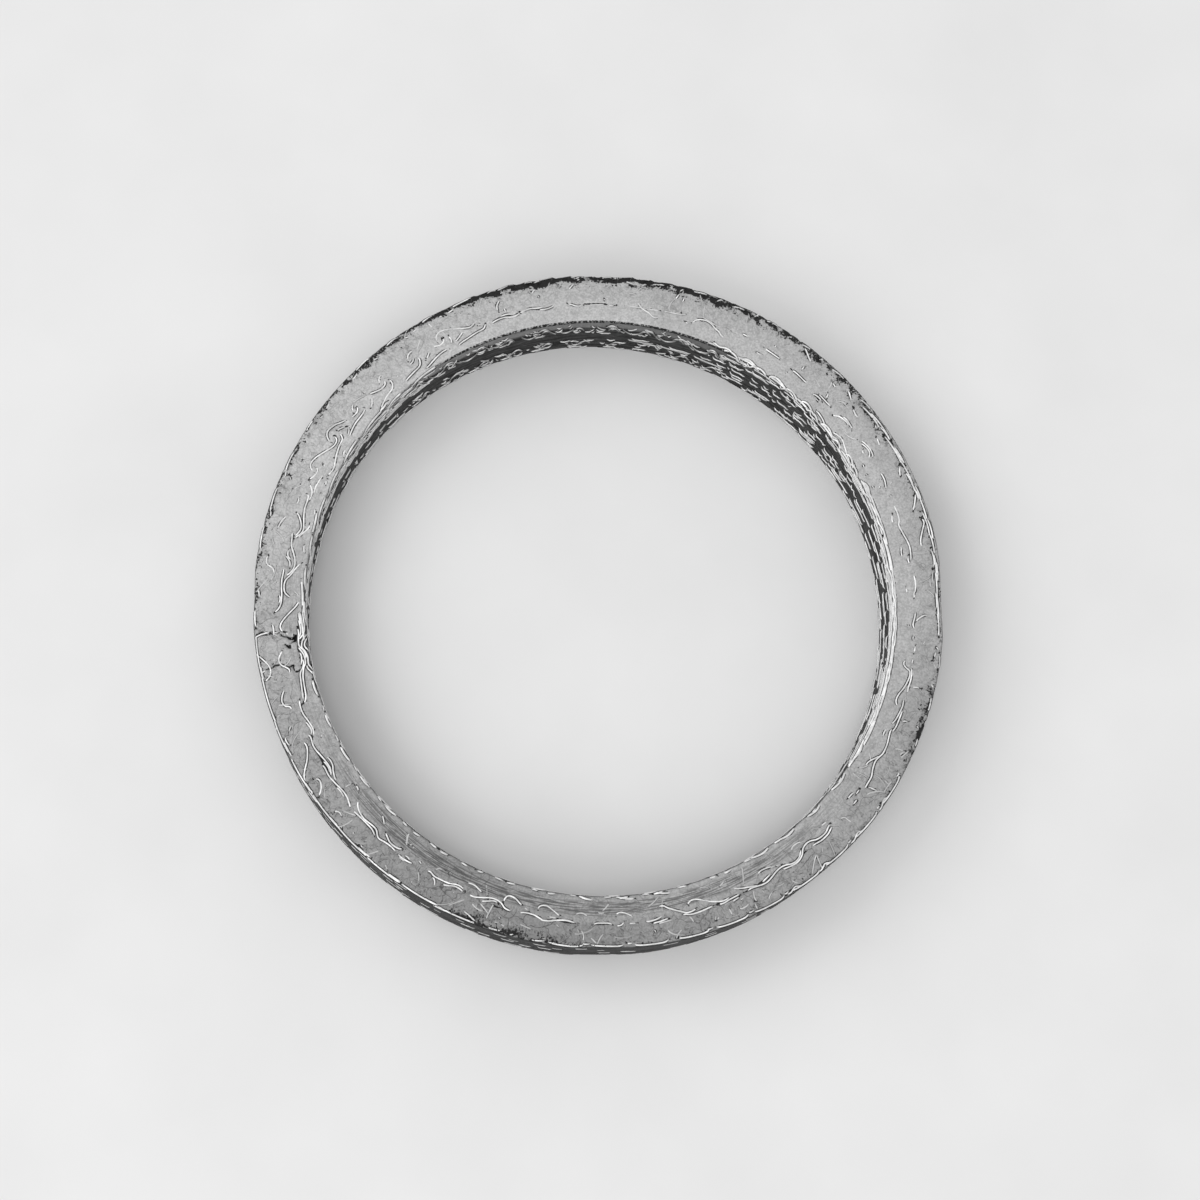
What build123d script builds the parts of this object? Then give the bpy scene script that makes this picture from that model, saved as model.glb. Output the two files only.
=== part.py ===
from build123d import *
import math
import os

# Wound sealing ring: a strip of flexible graphite and knitted steel wire, coiled into two
# turns and pressed in a die to a rectangular section.
# Millimetres, +Z along the axis of the ring, origin at the centre of its lower face.

os.makedirs("parts", exist_ok=True)

# ---- driving dimensions, graphite ----
bore_dia = 44.8        # clear bore of the pressed graphite
wall = 3.75            # radial width of the pressed coil
height = 5.9           # between the two pressed faces
inner_turn = 1.85      # width of the inner turn, from the bore to the seam on the faces
edge_chamfer = 0.52    # slope that the die leaves on all four edges
seam_width = 0.18      # mouth of the groove where the two turns meet
seam_depth = 0.12
join_angle = 187.0     # degrees round from +X, where the strip's end lies over its start
join_crack_width = 0.14
join_crack_depth = 0.2

# ---- driving dimensions, wire ----
wire_dia = 0.2
stitches = 52          # knitted stitches round the ring
proud = 0.1            # how far a pressed-in strand stands out of the graphite
rim_length = 0.96      # length of one strand on an edge, in stitches
rim_slant = 0.08       # rise of its ends along the sloped edge, from the middle
dash_length = 0.56     # length of one exposed strand on a wall, in stitches
bore_row_inset = 1.4   # from each pressed face to the nearest row on the bore
rim_gap = 0.01         # running gap between a strand and the sloped edge

# The face loop: places along one stitch, each with its distance outwards from the seam.
loop_line = ((0.0, -0.45), (0.04, -0.76), (0.2, -0.86), (0.78, -0.12), (1.7, 0.2))
# The crossing strands at the join: angle from the join, in degrees.
join_strand_angles = (-3.1, 3.1)
join_strand_gap = 0.12  # between the ends of a crossing strand and the edge or the seam

bore_radius = bore_dia / 2
outer_radius = bore_radius + wall
seam_radius = bore_radius + inner_turn
pitch = 360 / stitches


def at(radius, angle, z):
    """Point at a radius, an angle in degrees round from +X, and a height."""
    turn = math.radians(angle)
    return Vector(radius * math.cos(turn), radius * math.sin(turn), z)


def around(piece, places):
    """Copies of a piece turned about the ring's axis by whole stitches."""
    return [Rotation(0, 0, place * pitch) * piece for place in places]


# ---- graphite ring: the pressed section turned about the axis ----
groove = seam_width / 2
section = Polyline(
    (bore_radius + edge_chamfer, 0),
    (seam_radius - groove, 0),
    (seam_radius, seam_depth),
    (seam_radius + groove, 0),
    (outer_radius - edge_chamfer, 0),
    (outer_radius, edge_chamfer),
    (outer_radius, height - edge_chamfer),
    (outer_radius - edge_chamfer, height),
    (seam_radius + groove, height),
    (seam_radius, height - seam_depth),
    (seam_radius - groove, height),
    (bore_radius + edge_chamfer, height),
    (bore_radius, height - edge_chamfer),
    (bore_radius, edge_chamfer),
    close=True,
)
graphite = revolve(Plane.XZ * make_face(section), Axis.Z)

# The strip's end shows as two cracks across the upper face.
for offset in join_strand_angles:
    crack = Box(2 * wall, join_crack_width, 2 * join_crack_depth)
    graphite -= Rotation(0, 0, join_angle + 0.5 * offset) * Pos(seam_radius, 0, height) * crack


# ---- wire ----
def rim_strand(radius, z, outwards, upwards):
    """One straight length of round wire, six-sided, laid slantwise on a sloped edge.

    The middle of the slope is at the radius and height given. outwards and upwards are
    1 or -1 and give the side that the slope faces.
    """
    half = rim_length * pitch / 2
    sag = radius * (1 - math.cos(math.radians(half)))
    lift = wire_dia / 2 + rim_gap
    if outwards > 0:
        lift += sag * math.cos(math.radians(45))
    step = lift / math.sqrt(2)
    slide = rim_slant / math.sqrt(2)
    start = at(radius + outwards * (step - slide), -half, z + upwards * (step + slide))
    end = at(radius + outwards * (step + slide), half, z + upwards * (step - slide))
    run = end - start
    return extrude(Plane(origin=start, z_dir=run) * RegularPolygon(wire_dia / 2, 6), run.length)


def half_section():
    """The upper half of a six-sided wire: its foot on X, its crown up Y."""
    foot = wire_dia / 2
    return make_face(Polyline((-foot, 0), (foot, 0), (foot / 2, proud), (-foot / 2, proud), close=True))


def face_strand(points):
    """Exposed upper half of a wire that runs through points on the upper face."""
    line = Polyline(*points)
    run = points[1] - points[0]
    start = Plane(origin=points[0], x_dir=Vector(0, 0, 1).cross(run), z_dir=run)
    return sweep(start * half_section(), path=line, transition=Transition.RIGHT)


def wall_strand(radius, z, outwards):
    """Exposed half of a straight dash of wire on the bore (-1) or the outer wall (1)."""
    half = dash_length * pitch / 2
    if outwards > 0:
        radius /= math.cos(math.radians(half))
    start = at(radius, -half, z)
    run = at(radius, half, z) - start
    return extrude(Plane(origin=start, x_dir=(0, 0, outwards), z_dir=run) * half_section(), run.length)


every = range(stitches)
slope = edge_chamfer / 2
strands = []
for inner_or_outer, edge_radius in ((-1, bore_radius + slope), (1, outer_radius - slope)):
    strands += around(rim_strand(edge_radius, height - slope, inner_or_outer, 1), every)
    strands += around(rim_strand(edge_radius, slope, inner_or_outer, -1), every)

# Loops along the seam leave room for the join, where wires cross the face instead.
loop = face_strand([at(seam_radius + out, place * pitch, height) for place, out in loop_line])
loop_reach = loop_line[-1][0] * pitch
free = [
    place for place in every
    if place * pitch > join_angle + join_strand_angles[1] + wire_dia
    or place * pitch + loop_reach < join_angle + join_strand_angles[0] - wire_dia
]
strands += around(loop, free)

inner_band = (bore_radius + edge_chamfer + join_strand_gap, seam_radius - groove - join_strand_gap)
outer_band = (seam_radius + groove + join_strand_gap, outer_radius - edge_chamfer - join_strand_gap)
for offset in join_strand_angles:
    for near, far in (inner_band, outer_band):
        ends = [at(near, join_angle + offset, height), at(far, join_angle + offset, height)]
        strands.append(face_strand(ends))

for z in (bore_row_inset, height - bore_row_inset):
    strands += around(wall_strand(bore_radius, z, -1), every)
strands += around(wall_strand(outer_radius, height / 2, 1), every)

wire = Compound(children=[Part(strand.wrapped) for strand in strands])

export_step(graphite, "parts/graphite_ring.step")
export_step(wire, "parts/knitted_wire.step")
print("graphite volume", round(graphite.volume, 2), "mm3")
print("strands", len(strands), "volume", round(sum(s.volume for s in strands), 3), "mm3")
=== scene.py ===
# %% [markdown]
# # A wound gasket ring of knitted wire and graphite
# A long sleeve of fine stainless wire is knitted like a stocking, flattened round a tape of
# flexible graphite, wound into two turns and pressed in a die. What comes out is one grey,
# burnished ring with bright wire showing wherever the knit reached the surface.
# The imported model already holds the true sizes. This script loads it as a fixed frame, and dresses it:
# one closed skin for the graphite, and some two thousand pressed strands of wire laid on that skin.

# %% Load the frame
import math

import bpy
import numpy as np
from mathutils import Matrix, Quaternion, Vector


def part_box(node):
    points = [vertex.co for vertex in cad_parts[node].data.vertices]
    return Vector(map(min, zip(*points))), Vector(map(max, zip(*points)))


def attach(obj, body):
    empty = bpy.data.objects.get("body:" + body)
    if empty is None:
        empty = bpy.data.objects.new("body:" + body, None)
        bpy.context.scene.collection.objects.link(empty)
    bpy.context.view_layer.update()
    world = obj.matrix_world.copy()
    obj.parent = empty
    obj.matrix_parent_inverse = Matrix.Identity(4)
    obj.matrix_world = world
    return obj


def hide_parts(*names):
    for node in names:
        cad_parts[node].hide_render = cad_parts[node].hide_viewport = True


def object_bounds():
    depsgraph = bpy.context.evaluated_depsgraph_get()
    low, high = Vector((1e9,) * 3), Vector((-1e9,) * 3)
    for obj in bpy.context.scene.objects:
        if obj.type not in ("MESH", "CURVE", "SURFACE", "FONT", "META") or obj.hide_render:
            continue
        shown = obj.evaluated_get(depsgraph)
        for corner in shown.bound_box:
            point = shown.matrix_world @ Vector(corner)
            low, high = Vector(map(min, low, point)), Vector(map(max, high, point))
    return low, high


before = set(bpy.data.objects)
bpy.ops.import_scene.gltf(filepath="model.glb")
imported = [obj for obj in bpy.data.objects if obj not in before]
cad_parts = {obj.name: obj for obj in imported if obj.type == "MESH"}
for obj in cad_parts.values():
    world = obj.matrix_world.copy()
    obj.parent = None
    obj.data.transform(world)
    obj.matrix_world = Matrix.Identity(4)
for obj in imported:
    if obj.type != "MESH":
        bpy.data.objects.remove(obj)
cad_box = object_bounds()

MM = 0.001
print("CAD nodes:", sorted(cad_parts))

# %% [markdown]
# ## The sizes that everything else is worked out from
# Nothing is measured twice: the height and the outer radius come from the box of the CAD node,
# and the bore radius is the smallest distance of its vertices from the axis.
# The knit has 52 stitches round the ring, so one stitch takes a little under seven degrees.
# The wire is drawn a little thinner than it is, because the die sank it and only its back shows.

# %% Sizes of the ring and of the knit
ring_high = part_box("graphite_ring")[1]
corners = np.array([v.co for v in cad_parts["graphite_ring"].data.vertices])
HEIGHT = ring_high.z / MM
OUTER = ring_high.x / MM
BORE = np.hypot(corners[:, 0], corners[:, 1]).min() / MM
MIDDLE = (BORE + OUTER) / 2

PITCH = 360 / 52
FIRST_STITCH = 252.5
JOIN = 187.0
TOOTH_HEIGHT = 0.16
WIRE_RADIUS = 0.072
SEED = 11
print(f"height {HEIGHT:.2f} mm, bore radius {BORE:.2f} mm, outer radius {OUTER:.2f} mm")

# %% [markdown]
# ## The section, walked as one line
# A pressed ring has a rectangular section with soft corners. Both the graphite and the wire need it,
# so it is written once, as a walk: a distance in millimetres along the section's outline gives a point
# and the direction that faces out of it. The walk starts half way up the bore wall, climbs over the
# inner edge, crosses the upper face, drops down the outer wall and comes back underneath.

# %% The section of the ring
EDGE = 0.2
SIDE = HEIGHT - 2 * EDGE
FACE = OUTER - BORE - 2 * EDGE
TURN = EDGE * math.pi / 2
STOPS = np.cumsum([0, SIDE / 2, TURN, FACE, TURN, SIDE, TURN, FACE, TURN, SIDE / 2])
PERIMETER = STOPS[-1]


def section(walk):
    """A rectangle of four corner centres, grown by the edge radius. The centre slides from corner
    to corner along the flats, and the outward direction swings a quarter turn round each corner:
    point = centre + edge radius times (cosine, sine) of that direction."""
    walk = np.mod(walk, PERIMETER)
    near, far = BORE + EDGE, OUTER - EDGE
    top, bottom = HEIGHT - EDGE, EDGE
    facing = np.interp(walk, STOPS, np.radians([180, 180, 90, 90, 0, 0, -90, -90, -180, -180]))
    centre_r = np.interp(walk, STOPS, [near, near, near, far, far, far, far, near, near, near])
    centre_z = np.interp(walk, STOPS, [HEIGHT / 2, top, top, top, top, bottom, bottom, bottom, bottom,
                                       HEIGHT / 2])
    return centre_r + EDGE * np.cos(facing), centre_z + EDGE * np.sin(facing), np.cos(facing), np.sin(facing)


def walk_of(across):
    """Strands are placed by a radius that goes on past both edges: on the upper face it is the radius
    itself, below the bore radius it runs down the bore wall, and past the outer radius it runs down
    the outer wall. On a rounded edge, radius = corner centre + edge radius times the sine of the turn."""
    inner_turn = np.arcsin(np.clip(1 - (across - BORE) / EDGE, 0, 1))
    outer_turn = np.arcsin(np.clip((across - OUTER + EDGE) / EDGE, 0, 1))
    flat = np.clip(across - BORE - EDGE, 0, FACE)
    return (STOPS[2] - EDGE * inner_turn + np.minimum(across - BORE, 0)
            + flat + EDGE * outer_turn + np.maximum(across - OUTER, 0))


def bore_wall(height):
    """The across value of a height on the bore wall."""
    return BORE - (HEIGHT - EDGE - height)


def outer_wall(height):
    """The across value of a height on the outer wall."""
    return OUTER + (HEIGHT - EDGE - height)


def lower_face(radius):
    """The across value of a radius on the lower face."""
    return OUTER + SIDE + TURN + (OUTER - EDGE - radius)


def ease(value, low, high):
    """0 below low, 1 above high, and the smooth cubic 3t^2 - 2t^3 between them."""
    t = np.clip((value - low) / (high - low), 0, 1)
    return t * t * (3 - 2 * t)


def between(degrees, *stops):
    """A value that runs straight from stop to stop round the ring. Stops are (degrees, value) pairs."""
    at, value = np.array(stops, float).T
    return np.interp(np.mod(degrees, 360), at, value, period=360)


def teeth(degrees):
    """Saw teeth, one big and one small for each stitch, as a height from 0 to 1. In the direction of growing
    angles a tooth rises within a tenth of a stitch and sinks over the next half."""
    share = np.mod((degrees - FIRST_STITCH + 2.8) / PITCH, 1)
    big = ease(share, 0, 0.09) * (1 - ease(share, 0.05, 0.6))
    small = 0.55 * ease(share, 0.55, 0.63) * (1 - ease(share, 0.62, 1))
    return (big + small) * between(degrees, (74, 0), (81, 1), (108, 1), (116, 0))


def swell(degrees, radius, height):
    """The outer edge isn't quite round: on one side graphite was squeezed past the wire, and beside it each
    stitch drags a tooth of graphite over the rim. Only the outer millimetre of the section moves, and never
    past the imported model's box: radius * the longer of |cos| and |sin| stays below half of its width."""
    shift = between(degrees, (0, 0.2), (6, 0.25), (14, 0.36), (30, 0.36), (62, 0.34), (74, 0.26), (80, 0.12),
                    (96, 0.1), (104, 0.12), (112, 0.14), (240, 0.14), (290, 0.16), (325, 0.18), (335, 0.13),
                    (350, 0.18))
    longest = np.maximum(np.abs(np.cos(np.radians(degrees))), np.abs(np.sin(np.radians(degrees))))
    shift = np.minimum(shift, (cad_box[1][0] / MM - 0.05) / longest - OUTER)
    shift = shift * ease(radius, OUTER - 1.1, OUTER - 0.1)
    return shift + TOOTH_HEIGHT * teeth(degrees) * ease(radius, OUTER - 0.3, OUTER) * ease(height, 4, 5.3)


def on_skin(degrees, across, lift):
    """Points, and outward directions, at an angle round the ring and an across value, lifted off the
    skin by some millimetres: x = (r + lift * out) * cos(angle), y the same with sin, z = height + lift *
    up."""
    r, z, out, up = section(walk_of(across))
    angle = np.radians(degrees)
    reach = r + swell(degrees, r, z) + lift * out
    points = np.stack([reach * np.cos(angle), reach * np.sin(angle), z + lift * up], -1)
    facing = np.stack([out * np.cos(angle), out * np.sin(angle), up], -1)
    return points, facing


print(f"the section is {PERIMETER:.2f} mm round")
# %% [markdown]
# ## Laying strands
# A strand is a short list of places, each an angle in degrees and a radius in millimetres, with how
# bare the metal is: 1 is bright steel, and near 0 the wire is still covered by a film of graphite.
# A smooth cubic runs through the places. It could be a Blender curve, but then it would have to be
# bent round the ring's edges afterwards. Worked out in angle and radius, it follows the skin by itself.

# %% A smooth strand through a few places
strands = []


def smooth(places, step):
    """A Catmull-Rom curve: between two places the line is the cubic that leaves the first one parallel to
    the line joining its neighbours, and arrives at the second in the same way. It is then cut evenly.
    A place is (degrees, across), and a third number lifts the strand off the skin there."""
    scale = np.array([math.radians(MIDDLE), 1, 1])
    p = np.array([(*place, 0.0)[:3] for place in places], float) * scale
    p = np.vstack([2 * p[0] - p[1], p, 2 * p[-1] - p[-2]])
    a, b, c, d = p[:-3, None], p[1:-2, None], p[2:-1, None], p[3:, None]
    t = np.linspace(0, 1, 16, endpoint=False)[None, :, None]
    curve = b + 0.5 * ((c - a) * t + (2 * a - 5 * b + 4 * c - d) * t ** 2 + (3 * b - a - 3 * c + d) * t ** 3)
    curve = np.vstack([curve.reshape(-1, 3), p[-2]])
    run = np.concatenate([[0], np.cumsum(np.linalg.norm(np.diff(curve, axis=0), axis=1))])
    even = np.linspace(0, run[-1], max(6, int(run[-1] / step)))
    return np.stack([np.interp(even, run, curve[:, i]) for i in range(3)], -1) / scale, even


def lay(where, bare, *places, step=0.1):
    """Keeps one strand: its piece, its line in degrees and across, its length so far, and how bare it is."""
    line, run = smooth(places, step)
    strands.append({"piece": where, "line": line, "run": run, "bare": bare})


def stitches(first, last):
    """The angle of every stitch between two angles."""
    count = np.arange(math.ceil((first - FIRST_STITCH) / PITCH),
                      math.floor((last - FIRST_STITCH) / PITCH) + 1)
    return FIRST_STITCH + count * PITCH


# %% [markdown]
# ## The upper face
# Here the two turns of the sleeve meet in one seam, half way across. The knit loops reach over it, and
# each shows a piece of itself: an arch with one steep leg and one long tail, a hook, or only a dash.
# No two are alike, since the die pushed each stitch its own way, so they are placed one by one,
# in the order round the ring. Angles grow anticlockwise, seen from above.

# %% Hooks and long tails, just before the join
FACE_STRANDS = [
    # the seam thins out, and hooks begin
    (0.7, (78, 23.42), (79.3, 23.3), (80.5, 23.6), (81.8, 23.85), (82.4, 24.1), (82.8, 24.45)),
    (0.5, (78.2, 23.95), (80.5, 23.88), (83, 23.9), (86.5, 23.9)),
    (0.7, (86.7, 23.88), (87.7, 23.82), (88.6, 23.93)),
    (0.9, (88.8, 24.12), (89.1, 24.5)),
    (0.4, (88.6, 23.9), (91, 23.86), (92.2, 23.9)),
    (0.8, (92.7, 23.84), (94, 23.78), (95.2, 23.95), (95.9, 24.05)),
    (0.8, (98.1, 24.1), (98.8, 23.92), (100, 23.8), (101.6, 23.86)),
    (0.7, (100.2, 24), (101.5, 23.98), (102.9, 24.06), (104, 24), (105.4, 23.84)),
    (0.8, (104.6, 24), (105.5, 23.8), (106.5, 23.72), (108, 23.86), (109.5, 23.84), (111, 23.7)),
    (0.7, (105, 24.1), (106.2, 23.94), (107.4, 24.06), (109, 24.04)),
    (0.9, (107.45, 24.2), (107.6, 24.7)),
    (0.9, (108.9, 24.4), (108.7, 24.9), (108.2, 25.2), (107.6, 25.42)),
    (0.7, (100.8, 24.7), (101, 25.1)),
    (0.8, (102.3, 25.05), (101.8, 25.35), (100.9, 25.6)),
    (0.7, (95.5, 25.1), (95, 25.35), (94, 25.7)),
    (0.3, (88, 25), (89.3, 24.9)),
    (0.3, (87.5, 25.5), (88.8, 25.33)),
    # every hook has a steep leg, a head and a tail that dips and curls up beside the next head
    (0.9, (111.7, 24), (112, 23.74), (112.6, 23.52), (114, 23.45), (116, 23.3), (117.5, 23.2),
     (118.6, 23.08)),
    (0.6, (112.4, 23.84), (113, 23.95), (113.6, 24.02)),
    (0.5, (114.6, 23.62), (115.3, 23.75), (115.5, 23.86)),
    (0.7, (113.6, 24.5), (113.6, 24.34), (114, 24.15), (114.8, 24.05), (115.7, 24.15), (117, 24.37),
     (118.2, 24.58), (119.3, 24.73), (120.3, 24.75), (121, 24.6), (121.4, 24.3), (121.4, 24)),
    (0.5, (115.5, 24.58), (115.65, 24.38)),
    (0.6, (113.4, 25.05), (114.6, 24.97)),
    (0.9, (116, 24.03), (117, 23.78), (118, 23.56), (118.8, 23.48)),
    (1.0, (119.2, 24.25), (119, 23.95), (119.1, 23.62), (119.5, 23.38)),
    (1.0, (120.2, 23.25), (122, 23.22), (124, 23.02), (125.3, 22.86), (126.4, 22.8)),
    (0.5, (122, 23.38), (123, 23.31)),
    (1.0, (120.3, 24.38), (120.3, 24.04), (120.7, 23.86), (121.5, 23.82), (122.4, 23.95), (123, 24.07)),
    (0.9, (123.4, 23.9), (124.2, 23.62), (125.2, 23.35)),
    (1.0, (126.1, 24.03), (126.1, 23.74), (126.4, 23.44), (127, 23.23), (128.5, 23.12), (130, 23.02),
     (131.2, 22.92)),
    (0.8, (126.9, 24.3), (126.9, 24.08), (127.3, 23.88), (128, 23.8), (128.5, 23.77)),
    (0.9, (125.6, 24.56), (126.5, 24.59), (127.3, 24.5), (127.8, 24.26), (128.1, 24.08)),
    (0.7, (131, 23.78), (131.7, 23.54)),
    (1.0, (133, 24.03), (133, 23.62), (133.3, 23.36), (134, 23.14), (135.5, 23.03), (136.5, 22.9),
     (137.5, 22.76), (138.5, 22.54), (140, 22.38)),
    (0.9, (133.9, 24.25), (133.9, 23.96), (134.3, 23.79), (135.2, 23.74), (136, 23.82), (137, 24),
     (137.8, 24.18)),
    (0.4, (137.8, 24.18), (139.5, 24.46), (141, 24.6)),
    (0.9, (133, 24.58), (134, 24.53), (134.6, 24.29), (135, 24.04)),
    (0.9, (137.5, 23.92), (138.3, 23.53), (139, 23.34), (139.6, 23.31)),
    (1.0, (140.1, 23.73), (140.5, 23.52), (141.5, 23.43), (143.5, 23.4), (145, 23.29), (146.6, 23.13)),
    (0.8, (144.7, 23.73), (145.5, 23.43), (146.6, 23.26)),
    (0.7, (145, 23.84), (146, 24.07), (146.8, 24.3)),
    (1.0, (140.9, 24.32), (141, 24.07), (141.5, 23.88), (142.3, 23.86), (143.4, 23.98)),
    (0.8, (140.6, 24.58), (141.5, 24.38), (142, 24.15), (142.2, 24)),
    (0.7, (143.8, 24.07), (145, 24.32), (146, 24.58), (147.5, 24.76), (148.4, 24.64), (149, 24.32),
     (149.2, 24)),
    (1.0, (146.8, 24.03), (147, 23.74), (147.6, 23.46), (149, 23.37), (150.5, 23.22), (152, 23.01),
     (153.2, 22.87), (154.3, 22.9), (155.4, 23.08)),
    (1.0, (147.8, 24.2), (148, 23.91), (148.5, 23.75), (149.3, 23.73), (150.2, 23.86), (151.5, 24.15),
     (153, 24.47), (154.2, 24.59), (155, 24.47), (155.5, 24.2), (155.7, 24.03)),
    (1.0, (154.5, 24.28), (154.6, 24.07), (155, 23.88), (155.7, 23.86), (156.5, 23.98), (157.6, 24.22)),
    (0.4, (157.6, 24.22), (158.5, 24.45), (159.5, 24.83), (160, 25.04)),
    (0.9, (153.4, 23.86), (153.7, 23.57), (154.2, 23.36)),
    (0.9, (154.9, 23.32), (156.5, 23.4), (158, 23.46), (159.8, 23.37)),
    (0.9, (157.7, 24.15), (158.3, 23.83), (159, 23.6), (160, 23.49), (161.4, 23.57)),
    (0.5, (150.4, 23.41), (151.8, 23.26)),
    (0.7, (152.1, 23.69), (152.6, 23.56)),
    (0.6, (158.2, 22.98), (159, 22.87), (159.7, 22.9)),
    # slack verticals near the outer edge
    (0.8, (120.7, 25.18), (121, 25.56), (121.2, 25.9)),
    (0.6, (127.2, 25.05), (127.5, 25.32)),
    (0.8, (114.2, 25.6), (114.6, 25.95)),
    (0.4, (154.5, 25.4), (154.4, 25.2), (155.2, 24.8)),
    (0.6, (157.8, 25.6), (158.8, 25.3)),
]

# %% Wide waves, and the join where the sleeve's two ends are tucked in
JOIN_STRANDS = [
    (0.9, (159.7, 24.03), (160, 23.78), (160.6, 23.66), (162.5, 23.64), (164, 23.52), (165.5, 23.35),
     (166.5, 23.26), (167.4, 23.36), (168.7, 23.82)),
    (0.9, (163.6, 24.22), (164.3, 23.86), (165.5, 23.56), (166.5, 23.46), (167.5, 23.58), (168.4, 23.84)),
    (0.8, (167.2, 24.05), (168.5, 23.94), (170, 23.86), (171.5, 23.57), (173, 23.37), (174.2, 23.41),
     (175.2, 23.65), (175.9, 24.02)),
    (0.9, (165, 22.92), (166, 22.9), (167, 23.14), (168.6, 23.6)),
    (0.8, (160.7, 24.49), (161, 24.36), (161.8, 24.28), (162.6, 24.4)),
    (0.7, (164.5, 24.66), (165.5, 24.92), (166.6, 25.1), (167.7, 25.16)),
    (0.9, (172.8, 22.83), (174, 23.2), (175.5, 23.57), (176.5, 23.9), (177.5, 24), (178.8, 23.93),
     (179.5, 23.66), (180, 23.35)),
    (0.8, (170.5, 24.02), (171.8, 24), (172.4, 23.85), (172.9, 23.57)),
    (0.7, (171.8, 24.28), (172.5, 23.95), (173.3, 23.74), (174.4, 23.72)),
    (1.0, (174.1, 24.2), (175, 24.14), (176.5, 24.2), (178, 24.19), (179.5, 24.14), (181, 24.2), (182, 24.42),
     (182.6, 24.76)),
    (0.9, (179, 24.38), (180, 24.25), (181.3, 24.38)),
    (1.0, (180.2, 22.76), (181.5, 23.08), (182.8, 23.6), (184, 24.06), (185, 24.29), (185.8, 24.23),
     (186.3, 23.97)),
    (0.8, (186, 23.88), (187.1, 23.79)),
    (0.9, (172.1, 25.33), (173, 25.47), (174, 25.38), (174.5, 25.02), (175.2, 24.86), (175.8, 24.95)),
    (0.4, (176, 25.08), (177.7, 25.62), (179.5, 26.16)),
    (0.4, (178.5, 23.4), (179, 23.02), (180, 22.82)),
    (0.8, (184.2, 24.92), (185.2, 24.82), (186.3, 24.82), (187, 24.92)),
    (0.9, (186, 24.98), (186.1, 25.45), (186.5, 25.95), (187.2, 26.2)),
    (1.0, (187.2, 26.2), (189.3, 26.16), (190.3, 25.82), (191.5, 25.5), (192.6, 25.4), (193.6, 25.55),
     (194.4, 26)),
    (0.9, (192.3, 25.54), (192.7, 25.96), (193.6, 26.14)),
    (1.0, (189.2, 24.22), (190, 24.48), (191, 24.7), (192, 24.6), (192.6, 24.28), (193.2, 24.07),
     (194, 24.2)),
    (0.9, (196.2, 24.7), (197.2, 25.03), (198.3, 25.2), (199.2, 25.08), (199.6, 24.76), (200.5, 24.7)),
    # strands that gather at the bore, dip together and fan out again
    (1.0, (178, 22.56), (180, 22.5), (183, 22.54), (185.5, 22.5), (186.7, 22.58), (187.6, 22.87),
     (188.1, 23.13)),
    (1.0, (183.7, 22.92), (185, 22.83), (186.3, 22.79), (187.2, 22.9), (187.9, 23.1)),
    (1.0, (185.4, 23.04), (186.5, 22.97), (187.8, 23.03), (189, 23.05), (190, 22.8), (191, 22.67),
     (192.2, 22.7)),
    (1.0, (186.5, 22.25), (187.4, 22.5), (188.2, 22.75), (189.4, 22.86), (190.3, 22.67), (191.5, 22.54),
     (192.8, 22.59), (193.5, 22.48), (194.6, 22.28)),
    (1.0, (187.3, 22.2), (188.2, 22.5), (189.2, 22.64), (190.1, 22.44), (190.9, 22.2)),
    (1.0, (189, 23.2), (190, 22.97), (191, 22.8), (192.5, 22.79), (193.4, 23), (195, 23.2), (197, 23.3),
     (198.5, 23.38), (199.5, 23.57), (199.9, 23.82)),
    (0.9, (190, 23.14), (191, 23), (192, 23.05), (193, 23.2)),
    (0.9, (191.3, 23.1), (192.2, 22.92), (193.3, 23.06), (194.3, 23.34), (196.3, 23.47), (198.3, 23.6),
     (199.4, 23.7)),
    (1.0, (192.6, 22.68), (193.6, 22.72), (195, 22.42), (197, 22.36)),
]

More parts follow.
